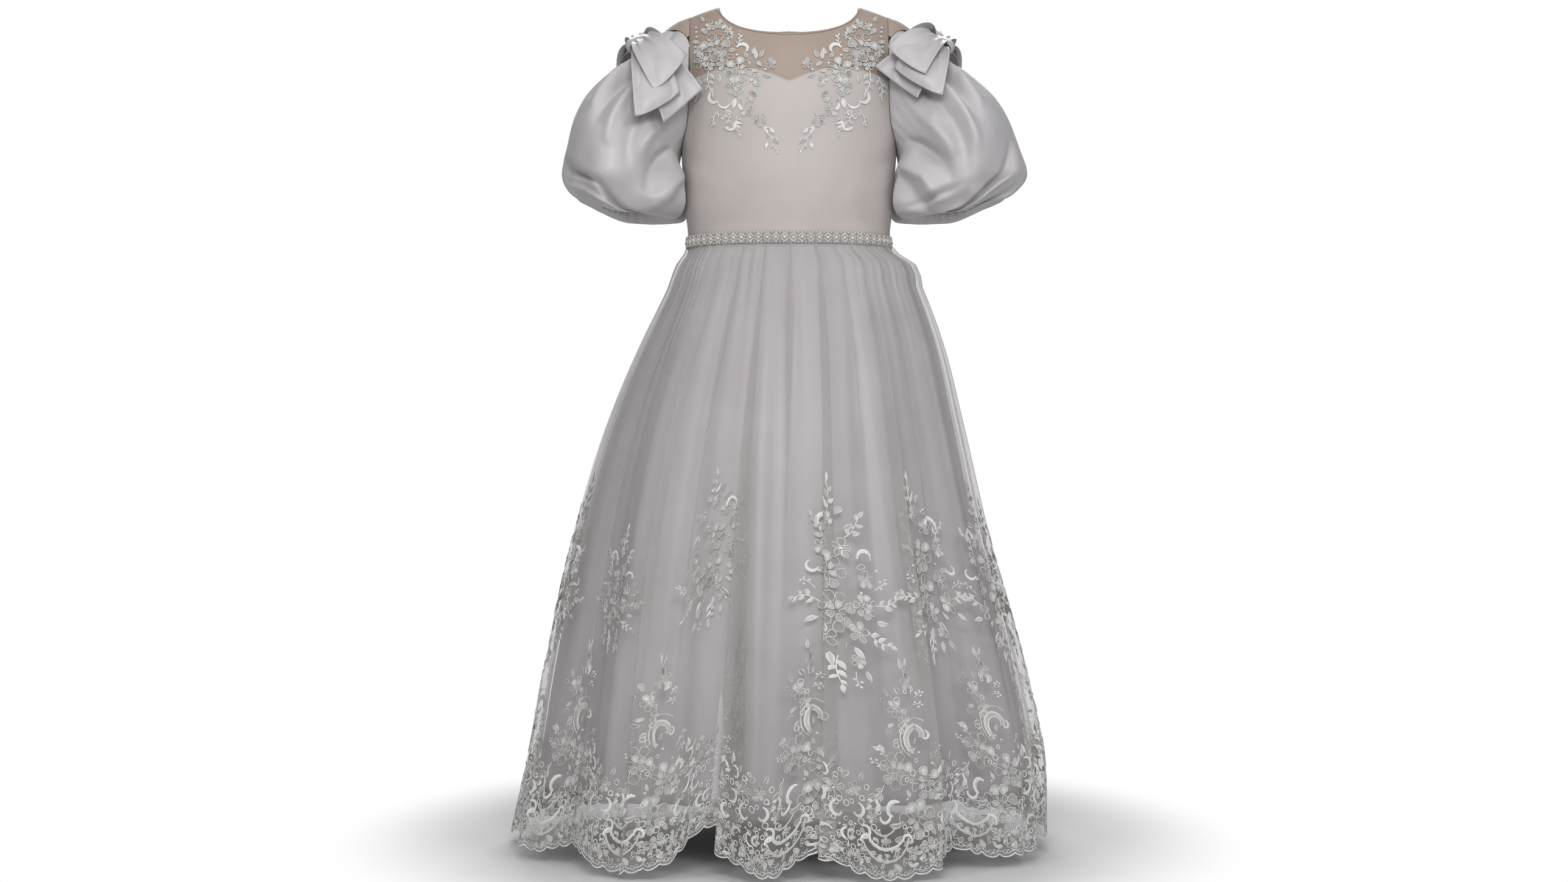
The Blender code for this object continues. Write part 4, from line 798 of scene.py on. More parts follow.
def sleeve(hand):
    """One side's bubble: the turn round it, and the section along it from the armhole."""
    last = len(SLEEVE) - 1

    def surface(around, section):
        around, section = np.broadcast_arrays(np.asarray(around, float), np.asarray(section, float))
        section = np.clip(section, 0, last)
        rings = [cap_edge(around) + places(SEAM_STEP, 0.0, 0.0)]
        rings += [sleeve_ring(hand, row, around) for row in SLEEVE[1:]]
        rings = np.array(rings)
        slopes = np.gradient(rings, axis=0) * SLEEVE_SLOPE
        first = np.minimum(section.astype(int), last - 1)
        share = (section - first)[..., None]
        place = cubic(share, picked(rings, first), picked(rings, first + 1),
                      picked(slopes, first), picked(slopes, first + 1))
        turn = around % 360
        # The side against the body lies flatter
        near = np.clip(1 - np.abs(np.abs(turn - 180) - 25) / 25, 0, 1)
        near = near * np.sin(np.pi * np.clip((section - 1) / 7.5, 0, 1))
        place = place - places(SLEEVE_INNER_REACH * near, 0.0, 0.0)
        depth = sleeve_creases(hand, turn, section)
        place = place - unit(place - sleeve_middle(hand, section)) * depth[..., None]
        # The lower outer corner lifts
        corner = eased((place[..., 0] - 0.186) / 0.050) * eased((-0.188 - place[..., 2]) / 0.045)
        corner = corner * np.clip((last - section) / 1.5, 0, 1)
        return place + places(0.0, 0.0, SLEEVE_CORNER_LIFT * corner)

    return surface


def sleeve_gathers(turn, section, hand):
    """Gathers that leave the sleeve head and the band, fading over the bubble."""
    head = np.exp(-section / 1.1) * np.clip(section / 0.25, 0, 1)
    head = head * np.clip(1.25 - np.abs(turn_between(turn, 0)) / 110, 0.25, 1)
    band = np.exp(-(len(SLEEVE) - 1 - section) / 1.2)
    ripple = np.sin(np.radians(turn * 27 + 40 * hand) + 1.6 * sin_of(turn * 5 + 70 * hand))
    lower = np.sin(np.radians(turn * 23) + 1.9 * sin_of(turn * 4 + 50 * hand))
    return SLEEVE_HEAD_GATHER * ripple * head + SLEEVE_BAND_GATHER * lower * band


# Making cloth


def as_mesh(name, shape):
    """A shape as a mesh, once it is finished."""
    mesh = bpy.data.meshes.new(name)
    shape.to_mesh(mesh)
    shape.free()
    return mesh


def places_of(mesh):
    """A mesh's places, as an array."""
    flat = np.empty(len(mesh.vertices) * 3)
    mesh.vertices.foreach_get("co", flat)
    return flat.reshape(-1, 3)


def linked(name, data):
    """A new object in the scene."""
    thing = bpy.data.objects.new(name, data)
    bpy.context.scene.collection.objects.link(thing)
    return thing


def sheet_grid(name, cells, surface, finish, ring=False, wall=0.0, size=None):
    """A grid of cloth: surface gives its places at shares across and up it, as arrays. The cloth's
    own UV runs in metres across and up."""
    cloth = bmesh.new()
    bmesh.ops.create_grid(cloth, x_segments=cells[0], y_segments=cells[1], size=0.5)
    mesh = as_mesh(name, cloth)
    flat = places_of(mesh)
    across = flat[:, 0] + 0.5
    up = flat[:, 1] + 0.5
    spots = surface(across, up)
    mesh.vertices.foreach_set("co", spots.ravel())
    if size is None:
        size = sheet_size(surface)
    corners = np.empty(len(mesh.loops), dtype=np.int64)
    mesh.loops.foreach_get("vertex_index", corners)
    layer = mesh.uv_layers.new(name="cloth")
    layer.data.foreach_set("uv", np.stack((across * size[0], up * size[1]), axis=-1)[corners].ravel())
    return placed(name, mesh, finish, wall, ring)


def sheet_size(surface):
    """The cloth's width and length along its own lines."""
    share = np.linspace(0, 1, 401)
    lines = [np.full_like(share, at) for at in (0.0, 0.5, 1.0)]
    width = max(steps_along(surface(share, line)).sum() for line in lines)
    length = max(steps_along(surface(line, share)).sum() for line in lines)
    return float(width), float(length)


def placed(name, mesh, finish, wall=0.0, ring=False):
    """Links a mesh as a piece of the dress: a ring is joined along its seam, a wall thickens it."""
    if ring:
        joined = bmesh.new()
        joined.from_mesh(mesh)
        bmesh.ops.remove_doubles(joined, verts=joined.verts, dist=SEAM_JOIN)
        joined.to_mesh(mesh)
        joined.free()
    mesh.materials.clear()
    mesh.materials.append(finish)
    mesh.shade_smooth()
    piece = linked(f"{name}_cloth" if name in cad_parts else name, mesh)
    if wall:
        thick = piece.modifiers.new("wall", "SOLIDIFY")
        thick.thickness = wall
        thick.offset = 0.0
    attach(piece, "dress")
    return piece


# Finishes


def new_finish(name):
    """An empty finish: the material, its nodes, its links and its shader."""
    made = bpy.data.materials.new(name)
    made.use_nodes = True
    return made, made.node_tree.nodes, made.node_tree.links, made.node_tree.nodes["Principled BSDF"]


def node(nodes, kind, **settings):
    """A new node with these settings."""
    made = nodes.new(kind)
    for key, value in settings.items():
        setattr(made, key, value)
    return made


def ramp(nodes, stops):
    """Colours at shares from 0 to 1."""
    made = nodes.new("ShaderNodeValToRGB")
    for index, (at, color) in enumerate(stops):
        stop = made.color_ramp.elements[index] if index < 2 else made.color_ramp.elements.new(at)
        stop.position = at
        stop.color = (*color, 1.0)
    return made


def unevenness(nodes, links, scale, detail=2.0):
    """Slow changes over a piece, in its own space."""
    here = node(nodes, "ShaderNodeTexCoord")
    slow = node(nodes, "ShaderNodeTexNoise")
    slow.inputs["Scale"].default_value = scale
    slow.inputs["Detail"].default_value = detail
    links.new(here.outputs["Object"], slow.inputs["Vector"])
    return slow.outputs["Fac"]


def tinted(nodes, links, share, stops, socket):
    """Brings the colour at a share between its stops to a socket."""
    tone = ramp(nodes, stops)
    links.new(share, tone.inputs["Fac"])
    links.new(tone.outputs["Color"], socket)


def ranged(nodes, links, share, least, most, socket):
    """Brings the value at a share between least and most to a socket."""
    spread = node(nodes, "ShaderNodeMapRange")
    spread.inputs["To Min"].default_value = least
    spread.inputs["To Max"].default_value = most
    links.new(share, spread.inputs["Value"])
    links.new(spread.outputs["Result"], socket)


def thread_lines(nodes, links, direction, thread, distortion):
    """Threads side by side on the cloth's own UV."""
    own = node(nodes, "ShaderNodeUVMap", uv_map="cloth")
    lines = node(nodes, "ShaderNodeTexWave", bands_direction=direction)
    lines.inputs["Scale"].default_value = WAVE_STEP / thread
    lines.inputs["Distortion"].default_value = distortion
    links.new(own.outputs["UV"], lines.inputs["Vector"])
    return lines


def raised(nodes, links, height, strength, distance, shader):
    """Brings fine relief to the shader's normal."""
    relief = node(nodes, "ShaderNodeBump")
    relief.inputs["Strength"].default_value = strength
    relief.inputs["Distance"].default_value = distance
    links.new(height, relief.inputs["Height"])
    links.new(relief.outputs["Normal"], shader.inputs["Normal"])


def cloth_finish(name, color, shade, roughness, thread, weave, specular=0.5):
    """Woven cloth: threads across and along it, and slow changes of tone and gloss."""
    made, nodes, links, shader = new_finish(name)
    slow = unevenness(nodes, links, 18.0, 3.0)
    tinted(nodes, links, slow, ((0.3, shade), (0.7, color)), shader.inputs["Base Color"])
    ranged(nodes, links, slow, roughness - 0.06, roughness + 0.06, shader.inputs["Roughness"])
    weft = thread_lines(nodes, links, "Y", thread, 0.6)
    warp = thread_lines(nodes, links, "X", thread / 0.6, 0.6)
    for threads in (weft, warp):
        threads.inputs["Detail Scale"].default_value = 2.0
    cross = node(nodes, "ShaderNodeMath", operation="MULTIPLY_ADD")
    cross.inputs[1].default_value = 0.35
    links.new(warp.outputs["Fac"], cross.inputs[0])
    links.new(weft.outputs["Fac"], cross.inputs[2])
    raised(nodes, links, cross.outputs["Value"], weave, 0.0002, shader)
    shader.inputs["Sheen Weight"].default_value = 0.2
    shader.inputs["Sheen Roughness"].default_value = 0.4
    shader.inputs["Specular IOR Level"].default_value = specular
    return made


def net_finish(name, color, shade, cover, thread=NET_THREAD):
    """Sheer net: see-through between its threads."""
    made, nodes, links, shader = new_finish(name)
    slow = unevenness(nodes, links, 14.0)
    tinted(nodes, links, slow, ((0.3, shade), (0.7, color)), shader.inputs["Base Color"])
    threads = thread_lines(nodes, links, "X", thread, 1.5)
    ranged(nodes, links, threads.outputs["Fac"], cover * 0.82, cover * 1.18, shader.inputs["Alpha"])
    shader.inputs["Roughness"].default_value = 0.62
    shader.inputs["Specular IOR Level"].default_value = 0.25
    shader.inputs["Sheen Weight"].default_value = 0.15
    return made


def zip_finish(name):
    """Brushed metal, a little uneven in its gloss."""
    made, nodes, links, shader = new_finish(name)
    wear = unevenness(nodes, links, 900.0, 4.0)
    ranged(nodes, links, wear, *ZIP_ROUGHNESS, shader.inputs["Roughness"])
    shader.inputs["Base Color"].default_value = (*ZIP_METAL, 1.0)
    shader.inputs["Metallic"].default_value = 1.0
    return made


def lace_finish(name):
    """Satin-stitched threads along each petal, coloured by the tone that each patch carries: painted sheen
    and painted shade over the lace's white.
    """
    made, nodes, links, shader = new_finish(name)
    look = bpy.context.scene.dress_look
    tone = node(nodes, "ShaderNodeAttribute", attribute_name="tone").outputs["Fac"]
    tinted(nodes, links, tone, ((0.0, look.lace_shade), (1.0, look.lace)), shader.inputs["Base Color"])
    stitches = thread_lines(nodes, links, "Y", STITCH_THREAD, 1.2)
    raised(nodes, links, stitches.outputs["Fac"], 0.9, 0.0004, shader)
    shader.inputs["Roughness"].default_value = 0.36
    shader.inputs["Specular IOR Level"].default_value = 0.5
    return made


def pearl_finish(name):
    """Pearls, cloudy and glossy."""
    made, nodes, links, shader = new_finish(name)
    tinted(nodes, links, unevenness(nodes, links, 400.0), PEARL_TONES, shader.inputs["Base Color"])
    shader.inputs["Roughness"].default_value = 0.25
    shader.inputs["Coat Weight"].default_value = 0.4
    return made


def finish(name):
    """The finish by its name, made once."""
    shown = f"dress {name}"
    if shown in bpy.data.materials:
        return bpy.data.materials[shown]
    look = bpy.context.scene.dress_look
    gloss = look.satin_roughness
    # Colour, darker tone, roughness, thread, height of the weave, and how strongly it reflects
    woven = {
        "satin": (look.satin, look.satin_shade, gloss, SATIN_THREAD, 0.10, 0.45),
        "sleeve_satin": (look.sleeve, look.sleeve_shade, gloss, SATIN_THREAD, 0.08),
        "ribbon": (look.sleeve, look.sleeve_shade, gloss - 0.04, SATIN_THREAD, 0.08),
        "lining_satin": (look.lining, look.lining_shade, gloss - 0.12, LINING_THREAD, 0.10),
        "band": (look.nude, look.nude_shade, 0.6, BAND_THREAD, 0.5),
        "belt_ground": (BELT_GROUND, BELT_GROUND_SHADE, 0.7, BAND_THREAD, 0.6),
        "zip_cloth": (look.satin, look.satin_shade, 0.75, ZIP_THREAD, 0.6),
    }
    # Colour, darker tone, share that threads cover, thread
    sheer = {
        "net": (look.net, look.net_shade, look.net_cover),
        "nude_net": (look.nude, look.nude_shade, NUDE_COVER, NUDE_THREAD),
        "back_net": (look.nude, look.nude_shade, NUDE_BACK_COVER, NUDE_THREAD),
    }
    if name in woven:
        return cloth_finish(shown, *woven[name])
    if name in sheer:
        return net_finish(shown, *sheer[name])
    return {"lace": lace_finish, "pearl": pearl_finish, "zip_metal": zip_finish}[name](shown)


# Pieces


def bodice(name, front, hand):
    """A satin panel from the waist to the yoke."""

    def surface(across, up):
        share = 2 * across - 1 if front else across
        level = 2.0 + (UNDERARM_LEVEL - 2.0) * np.clip(up * 2, 0, 1)
        reach = ARMHOLE_TURN * np.abs(share)
        top = satin_top(reach, front)
        level = level + (top - UNDERARM_LEVEL) * np.clip(up * 2 - 1, 0, 1)
        widest = armhole_turn(level)
        if front:
            turn = widest * share
        else:
            first = turn_at(ZIP_OPENING / 2)
            turn = hand * (180 - first - (widest - first) * share)
        metres = np.radians(turn) * TORSO_RADIUS
        out = soft_lines(metres, level * TORSO_LEVEL, BODICE_SOFT)
        above = np.maximum(2.0 - level, 0) * TORSO_LEVEL
        out = out + gathers(turn, 0.012 + above, 20.0) * 0.35 * np.exp(-above / 0.012)
        return torso_out(turn, level, out - 0.0006)

    piece = sheet_grid(name, panel_cells(BODICE_CELLS, front), surface, finish("satin"), wall=SATIN_WALL)
    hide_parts(name)
    width, length = sheet_size(surface)


def panel_cells(cells, front):
    """A front panel's cells, or half as many across for a back one."""
    return cells if front else (cells[0] // 2, cells[1])


def yoke(name, front, hand):
    """A sheer panel from the satin's top edge to the neck and the shoulder."""

    def surface(across, up):
        share = 2 * across - 1 if front else across
        first = 0.0 if front else turn_at(ZIP_OPENING / 2)
        reach = first + (ARMHOLE_TURN - first) * np.abs(share)
        low = satin_top(reach, front) + 0.035
        high = neck_level(reach, NECK_FRONT_DROP if front else NECK_BACK_DROP)
        level = low + (high - low) * up
        turn = reach * np.sign(share + 1e-9) if front else hand * (180 - reach)
        return torso_out(turn, level, -0.0018 + 0.0014 * eased(up / 0.3))

    net = finish("nude_net" if front else "back_net")
    piece = sheet_grid(name, panel_cells(YOKE_CELLS, front), surface, net, wall=SHEER_WALL)
    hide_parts(name)
    width, length = sheet_size(surface)


def neck_roll():
    """The narrow bound edge round the neck, open at centre back."""

    def surface(across, up):
        half = turn_at(NECK_HALF_WIDTH)
        share = np.abs(across * 2 - 1)
        hand = np.sign(across * 2 - 1 + 1e-9)
        front = share <= NECK_FRONT_SHARE
        ahead = half * np.clip(share / NECK_FRONT_SHARE, 0, 1)
        behind = half * np.clip((0.999 - share) / 0.439, 0.004, 1)
        reach = np.where(front, ahead, behind)
        turn = np.where(front, reach, 180 - reach) * hand
        level = np.where(front, neck_level(reach, NECK_FRONT_DROP), neck_level(reach, NECK_BACK_DROP))
        spot = torso(turn, level)
        normal = torso_out(turn, level, np.full_like(turn, 1.0)) - spot
        centre = places(0.0, -0.004, spot[:, 2] - 0.02)
        away = unit(centre - spot)
        inward = unit(away - normal * (away * normal).sum(axis=-1)[:, None])
        around = 2 * np.pi * up
        width, height = NECK_ROLL
        spot = spot + inward * (height + width * np.cos(around))[:, None]
        return spot + normal * (height * np.sin(around))[:, None]

    piece = sheet_grid("neck_binding", NECK_CELLS, surface, finish("band"), size=(0.5, 0.006), ring=True)
    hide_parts("neck_binding")


def underskirt_panel(name, first_turn, last_turn):
    """A satin panel under the net."""

    def surface(across, up):
        turn = first_turn + (last_turn - first_turn) * across
        drop = (WAIST_Z - UNDERSKIRT_HEM_Z) * (1 - up)
        return underskirt(turn, drop)

    cells = (round(abs(last_turn - first_turn) * UNDERSKIRT_CELLS_PER_DEGREE), UNDERSKIRT_ROWS)
    piece = sheet_grid(name, cells, surface, finish("lining_satin"), wall=LINING_WALL)
    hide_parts(name)
    width, length = sheet_size(surface)


def overskirt_panel(name, first_turn, last_turn, columns):
    """A net panel, gathered into the waist and scalloped at the hem."""

    def surface(across, up):
        turn = first_turn + (last_turn - first_turn) * across
        return overskirt(turn, hem_drop(turn) * (1 - up) + scallop(turn) * (1 - np.clip(up / 0.03, 0, 1)))

    piece = sheet_grid(name, (columns, OVERSKIRT_ROWS), surface, finish("net"))
    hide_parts(name)
    width, length = sheet_size(surface)


def scallop(turn):
    """How far the scalloped edge hangs at a turn."""
    return edge_depth(np.interp(turn, HEM_TURNS, HEM_LENGTHS))


def belt():
    """The band behind the beads, over the waist seam."""
    first = float(turn_at(ZIP_OPENING, TORSO[-1][1]))

    def surface(across, up):
        turn = -180 + first + (360 - 2 * first) * across
        return belt_place(turn, (up * 2 - 1) * BELT_HALF_HEIGHT * BELT_SHARE, 0.0)

    piece = sheet_grid("belt", BELT_CELLS, surface, finish("belt_ground"), wall=BELT_WALL)
    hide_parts("belt")
    width, length = sheet_size(surface)


def belt_place(turn, height, out):
    """A place over the waist seam, at a height over its middle."""
    spot = torso(turn, np.full_like(np.asarray(turn, float), 2.0))
    outward = unit(spot * np.array((1.0, 1.6, 0.0)))
    return spot + outward * (BELT_OUT + out) + places(0.0, 0.0, height)


def belt_beads():
    """Pearls in a lattice of small beads, with a line of beads along both edges."""
    first = float(turn_at(ZIP_OPENING, TORSO[-1][1]))
    share = np.linspace(0, 1, 2001)
    turn = -180 + first + 1 + (358 - 2 * first) * share
    line = belt_place(turn, 0.0, 0.0)
    along = lengths_along(line)
    step = along[-1] / PEARLS
    beads = []
    for index in range(PEARLS):
        middle = (index + 0.5) * step
        beads.append((middle, 0.0, PEARL_RADIUS))
        for side in (-1, 1):
            for up in (-1, 1):
                for part in LATTICE_PARTS:
                    at = middle + side * step * 0.5 * (1 - part)
                    beads.append((at, up * LATTICE_REACH * part, LATTICE_RADIUS))
    edge = int(along[-1] / EDGE_BEAD_STEP)
    for index in range(edge):
        for up in (-1, 1):
            beads.append(((index + 0.5) * along[-1] / edge, up * EDGE_BEAD_HEIGHT, EDGE_BEAD_RADIUS))
    made = bmesh.new()
    for middle, height, radius in beads:
        at = float(np.interp(middle, along, turn))
        spot = belt_place(np.array([at]), np.array([height]), 0.0003)[0]
        detail = 2 if radius == PEARL_RADIUS else 1
        place = Matrix.Translation(Vector(spot))
        bmesh.ops.create_icosphere(made, subdivisions=detail, radius=radius, matrix=place)
    piece = placed("belt_beads", as_mesh("belt_beads", made), finish("pearl"))


def sleeve_piece(hand):
    """One bubble sleeve."""
    name = f"sleeve_{SIDES[hand]}"
    form = sleeve(hand)

    def surface(across, up):
        spot = form(360 * across, up * (len(SLEEVE) - 1))
        return spot * np.array((hand, 1, 1))

    piece = sheet_grid(name, SLEEVE_CELLS, surface, finish("sleeve_satin"), ring=True)
    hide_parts(name)
    width, length = sheet_size(surface)


def sleeve_cap(hand):
    """The sheer crescent between the shoulder and the bubble."""
    name = f"sleeve_cap_{SIDES[hand]}"

    def surface(across, up):
        around = CAP_END_TURN * (2 * across - 1)
        share = 0.98 * up
        low, high = armhole(around), cap_edge(around)
        spot = low + (high - low) * share[:, None]
        middle = np.sin(np.pi * share)
        spot[:, 2] += CAP_PUFF * middle + CAP_RIPPLE * sin_of(around * 9) * middle
        return spot * np.array((hand, 1, 1))

    piece = sheet_grid(name, CAP_CELLS, surface, finish("nude_net"), wall=SHEER_WALL)
    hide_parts(name)
    width, length = sheet_size(surface)


def cuff(hand):
    """The band inside the end of a bubble."""
    name = f"cuff_{SIDES[hand]}"
    last = len(SLEEVE) - 1

    def surface(across, up):
        around = 360 * across
        spot = sleeve_ring(hand, SLEEVE[last], around)
        middle = sleeve_middle(hand, np.full_like(around, last))
        spot = spot - unit(spot - middle) * CUFF_INSET + places(0.0, 0.0, CUFF_INSET + CUFF_HEIGHT * up)
        return spot * np.array((hand, 1, 1))

    piece = sheet_grid(name, CUFF_CELLS, surface, finish("sleeve_satin"), ring=True, wall=LINING_WALL)
    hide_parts(name)
    width, length = sheet_size(surface)


def bow_frame():
    """A bow's own directions: along its knot, up from the sleeve, and across."""
    up = BOW_UP - BOW_AXIS * (BOW_UP @ BOW_AXIS)
    up = up / np.linalg.norm(up)
    return BOW_AXIS, up, np.cross(up, BOW_AXIS)


def bow_ribbon(hand, part, layers, tip, edge, arch, puff, lift):
    """One ribbon of a bow. A loop runs out from the knot and back; a tail only runs out."""
    name = f"bow_{part}_{SIDES[hand]}"
    tip = np.array(tip)
    edge = np.array(edge)
    axis, bow_up, across_line = bow_frame()
    across_line = across_line * np.copysign(BOW_START_HALF_WIDTH, across_line @ edge)
    centre = np.array(BOW_CENTRES[hand])
    toward = np.copysign(1.0, axis @ (tip - centre))
    start = centre + axis * toward * (KNOT_HALF_LENGTH - RIBBON_IN_KNOT) + bow_up * lift * 0.6
    rise = np.cross(tip - start, edge)
    rise = rise / np.linalg.norm(rise)
    facing = np.copysign(1.0, rise @ bow_up)
    bend = (start + tip) / 2 + rise * facing * arch

    def form(along, across):
        share = (np.sin(np.pi * along) ** 2 if layers == 2 else along)[:, None]
        place = start * (1 - share) ** 2 + bend * 2 * share * (1 - share) + tip * share**2
        width = across_line * (1 - share**0.8) + edge * share**0.8
        if layers == 2:
            run = (bend - start) * (1 - share) + (tip - bend) * share
            swing = np.sin(np.pi * along)
            height = np.cos(np.pi * along) * (BOW_LOOP_END + puff * swing * np.where(along < 0.5, 1.0, 0.3))
            normal = unit(np.cross(run, width)) * facing
            blend = np.minimum(4 * share, 1.0)
            place = place + unit(bow_up * (1 - blend) + normal * blend) * height[:, None]
            drawn_in = LOOP_END_ROUNDING * share * np.abs(across)[:, None] ** 3
            place = place - drawn_in * (tip - start) / np.linalg.norm(tip - start)
        return place + width * across[:, None]

    def surface(across, up):
        along = np.clip(0.01 + 0.98 * across, 0.01, 0.99)
        side = 2 * up - 1
        near = np.minimum(along, 1 - along) if layers == 2 else along
        pleats = np.cos(np.pi * 2.6 * side + 0.6 * hand) * np.exp(-near / 0.16)
        pleats = pleats * eased((near - 0.04) / 0.10) * RIBBON_PLEAT
        fade = eased((0.5 - near) / 0.12 if layers == 2 else 1.0)
        pleats = pleats - RIBBON_BULGE * (1 - side**2) * eased((near - 0.03) / 0.3) * fade
        curl = RIBBON_CURL * np.abs(side) ** 6 + RIBBON_CREASE * soft_lines(along * 3, side, RIBBON_SOFT)
        hem = RIBBON_HEM * (np.abs(side) > 0.84)
        spot = moved_out(form, along, side, -facing * (pleats + curl + hem), RIBBON_STEPS)
        return spot * np.array((hand, 1, 1))

    cells = LOOP_CELLS if layers == 2 else TAIL_CELLS
    piece = sheet_grid(name, cells, surface, finish("ribbon"), wall=RIBBON_WALL)
    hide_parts(name)
    width, length = sheet_size(surface)


def bow_knot(hand):
    """The band of ribbon round the middle of a bow."""
    name = f"bow_knot_{SIDES[hand]}"
    axis, up_line, across_line = bow_frame()

    def surface(across, up):
        side, height = rounded(360 * across, KNOT_POWER)
        swell = 1.16 + 0.14 * np.sin(np.pi * up)
        swell = swell + 0.015 * np.sin(np.pi * 4 * up + sin_of(360 * across) * 1.4)
        place = across_line * (side * KNOT_RADII[0] * swell)[:, None]
        place = place + up_line * (height * KNOT_RADII[1] * swell)[:, None]
        place = place + axis * (KNOT_HALF_LENGTH * (2 * up - 1))[:, None]
        return (np.array(BOW_CENTRES[hand]) + place) * np.array((hand, 1, 1))

    piece = sheet_grid(name, KNOT_CELLS, surface, finish("ribbon"), ring=True, wall=RIBBON_WALL)
    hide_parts(name)
    width, length = sheet_size(surface)


# Lace


def swung(x, y, reach, turn):
    """The place at a reach from another, in a direction in degrees."""
    return x + reach * math.cos(math.radians(turn)), y + reach * math.sin(math.radians(turn))


def direction(turn):
    """The line in a direction in degrees, and the one to its left."""
    line = np.array((math.cos(math.radians(turn)), math.sin(math.radians(turn))))
    return line, np.array((-line[1], line[0]))


def stem_place(x, y, turn, length, bend, share):
    """The place at a share along a stem that bends to one side."""
    line, side = direction(turn)
    return np.array((x, y)) + line * length * share + side * bend * length * math.sin(math.pi * share) * 0.5


class Lace:
    """Embroidery drawn flat, in millimetres across and up the cloth."""

    def __init__(self):
        self.mesh = bmesh.new()
        # Each place's tone paints sheen and shade into the lace's white
        self.tone = self.mesh.verts.layers.float.new("tone")
        self.stitch = self.mesh.loops.layers.uv.new("cloth")
        self.count = 0

    def fill(self):
        """Tones of painted sheen and shade that fall unevenly from one patch to the next."""
        self.count += 1
        return PAINTED_FILL_TONES[self.count * 7 % len(PAINTED_FILL_TONES)]

    def petal(self, x, y, turn, length, width, tone=None):
        """A petal from its foot outwards: a raised cord round a fill, or round open net. Its tones are
        painted light and shade: a darker foot and inner slope beside the cord, a lighter crest.
        """
        tone = self.fill() if tone is None else tone
        small = length < SMALL_PETAL
        segments = 6 if small else 10
        ring = bmesh.ops.create_circle(self.mesh, cap_ends=True, segments=segments, radius=1.0)["verts"]
        face = ring[0].link_faces[0]
        line = Vector((math.cos(math.radians(turn)), math.sin(math.radians(turn))))
        side = Vector((-line.y, line.x))
        for index, vert in enumerate(ring):
            across = vert.co.y * width / 2 * (0.78 + 0.26 * vert.co.x) * (1 + 0.09 * math.sin(5 * index + x))
            along = (vert.co.x + 1) / 2 * length
            spot = Vector((x, y)) + line * along + side * across
            vert.co = (spot.x, spot.y, 0.1)
            # Painted shadow at the foot of the cord
            vert[self.tone] = 0.50
        cord = min(CORD_WIDTH, width * 0.2)
        bmesh.ops.inset_individual(self.mesh, faces=[face], thickness=cord * 0.5, use_even_offset=True)
        for vert in face.verts:
            vert.co.z = CORD_HEIGHT
            # Painted highlight on the cord's crest, a little different for each petal
            vert[self.tone] = 0.80 + 0.20 * math.sin(self.count * 2.1) ** 2
        if small:
            around = list(ring) + list(face.verts)
        else:
            bmesh.ops.inset_individual(self.mesh, faces=[face], thickness=cord * 0.5, use_even_offset=True)
            for vert in face.verts:
                vert.co.z = 0.15
                # Painted shade on the fill's slope beside the cord, darker than its heart
                vert[self.tone] = 0.08 + 0.45 * tone
            around = {corner for one in ring for near in one.link_faces for corner in near.verts}
            around |= set(face.verts)
            if tone < OPEN_FILL:
                bmesh.ops.delete(self.mesh, geom=[face], context="FACES_ONLY")
            else:
                top = bmesh.ops.poke(self.mesh, faces=[face])["verts"][0]
                top.co.z = 0.45
                # The fill's heart takes the patch's tone of painted sheen and shade
                top[self.tone] = tone
                around.add(top)
        for vert in around:
            for loop in vert.link_loops:
                away = Vector((vert.co.x - x, vert.co.y - y))
                loop[self.stitch].uv = (away.dot(line) / 1000, away.dot(side) / 1000)

    def band(self, points, widths, tone=None, height=0.5, bars=4):
        """A raised band of stitches along a line of points, as wide as its widths."""
        tone = self.fill() if tone is None else tone
        points = np.array(points, float)
        at = np.linspace(0, 1, len(points))
        steps = max(3, len(points) - 1)
        verts = bmesh.ops.create_grid(self.mesh, x_segments=steps, y_segments=bars, size=0.5)["verts"]
        shares = np.array([vert.co.x + 0.5 for vert in verts])
        sides = np.array([vert.co.y * 2 for vert in verts])
        spots = np.stack([np.interp(shares, at, points[:, axis]) for axis in (0, 1)], axis=-1)
        ahead = np.stack([np.interp(shares + 0.03, at, points[:, axis]) for axis in (0, 1)], axis=-1)
        behind = np.stack([np.interp(shares - 0.03, at, points[:, axis]) for axis in (0, 1)], axis=-1)
        run = unit(ahead - behind)
        half = np.interp(shares, np.linspace(0, 1, len(widths)), widths) / 2
        spots = spots + np.stack((-run[:, 1], run[:, 0]), axis=-1) * (sides * half)[:, None]
        length = steps_along(points).sum()
        for vert, spot, side in zip(verts, spots, sides):
            rim = 0.8 if abs(abs(side) - 0.5) < 0.1 else 1.0 - side**2
            vert.co = (spot[0], spot[1], 0.1 + height * rim)
            # The edges are painted light as the sheen of an outline cord, and the middle takes the patch's
            # tone of painted sheen and shade
            vert[self.tone] = tone if abs(side) < 0.3 else (0.45 + 0.5 * tone if abs(side) < 0.9 else 0.90)
        for vert, side, share in zip(verts, sides, shares):
            for loop in vert.link_loops:
                loop[self.stitch].uv = (side * 0.001, share * length / 1000)

    def cord(self, points, width):
        """A plain raised cord."""
        self.band(points, (width, width), 1.0, CORD_HEIGHT, bars=2)

    def leaf(self, x, y, turn, length, width=None, bend=0.0, tone=None):
        """A pointed leaf that curves to one side."""
        width = length * 0.42 if width is None else width
        shares = (0.0, 0.2, 0.4, 0.6, 0.8, 1.0)
        points = [stem_place(x, y, turn, length, bend, share) for share in shares]
        self.band(points, (0.5, width * 0.8, width, width * 0.85, width * 0.5, 0.3), tone)

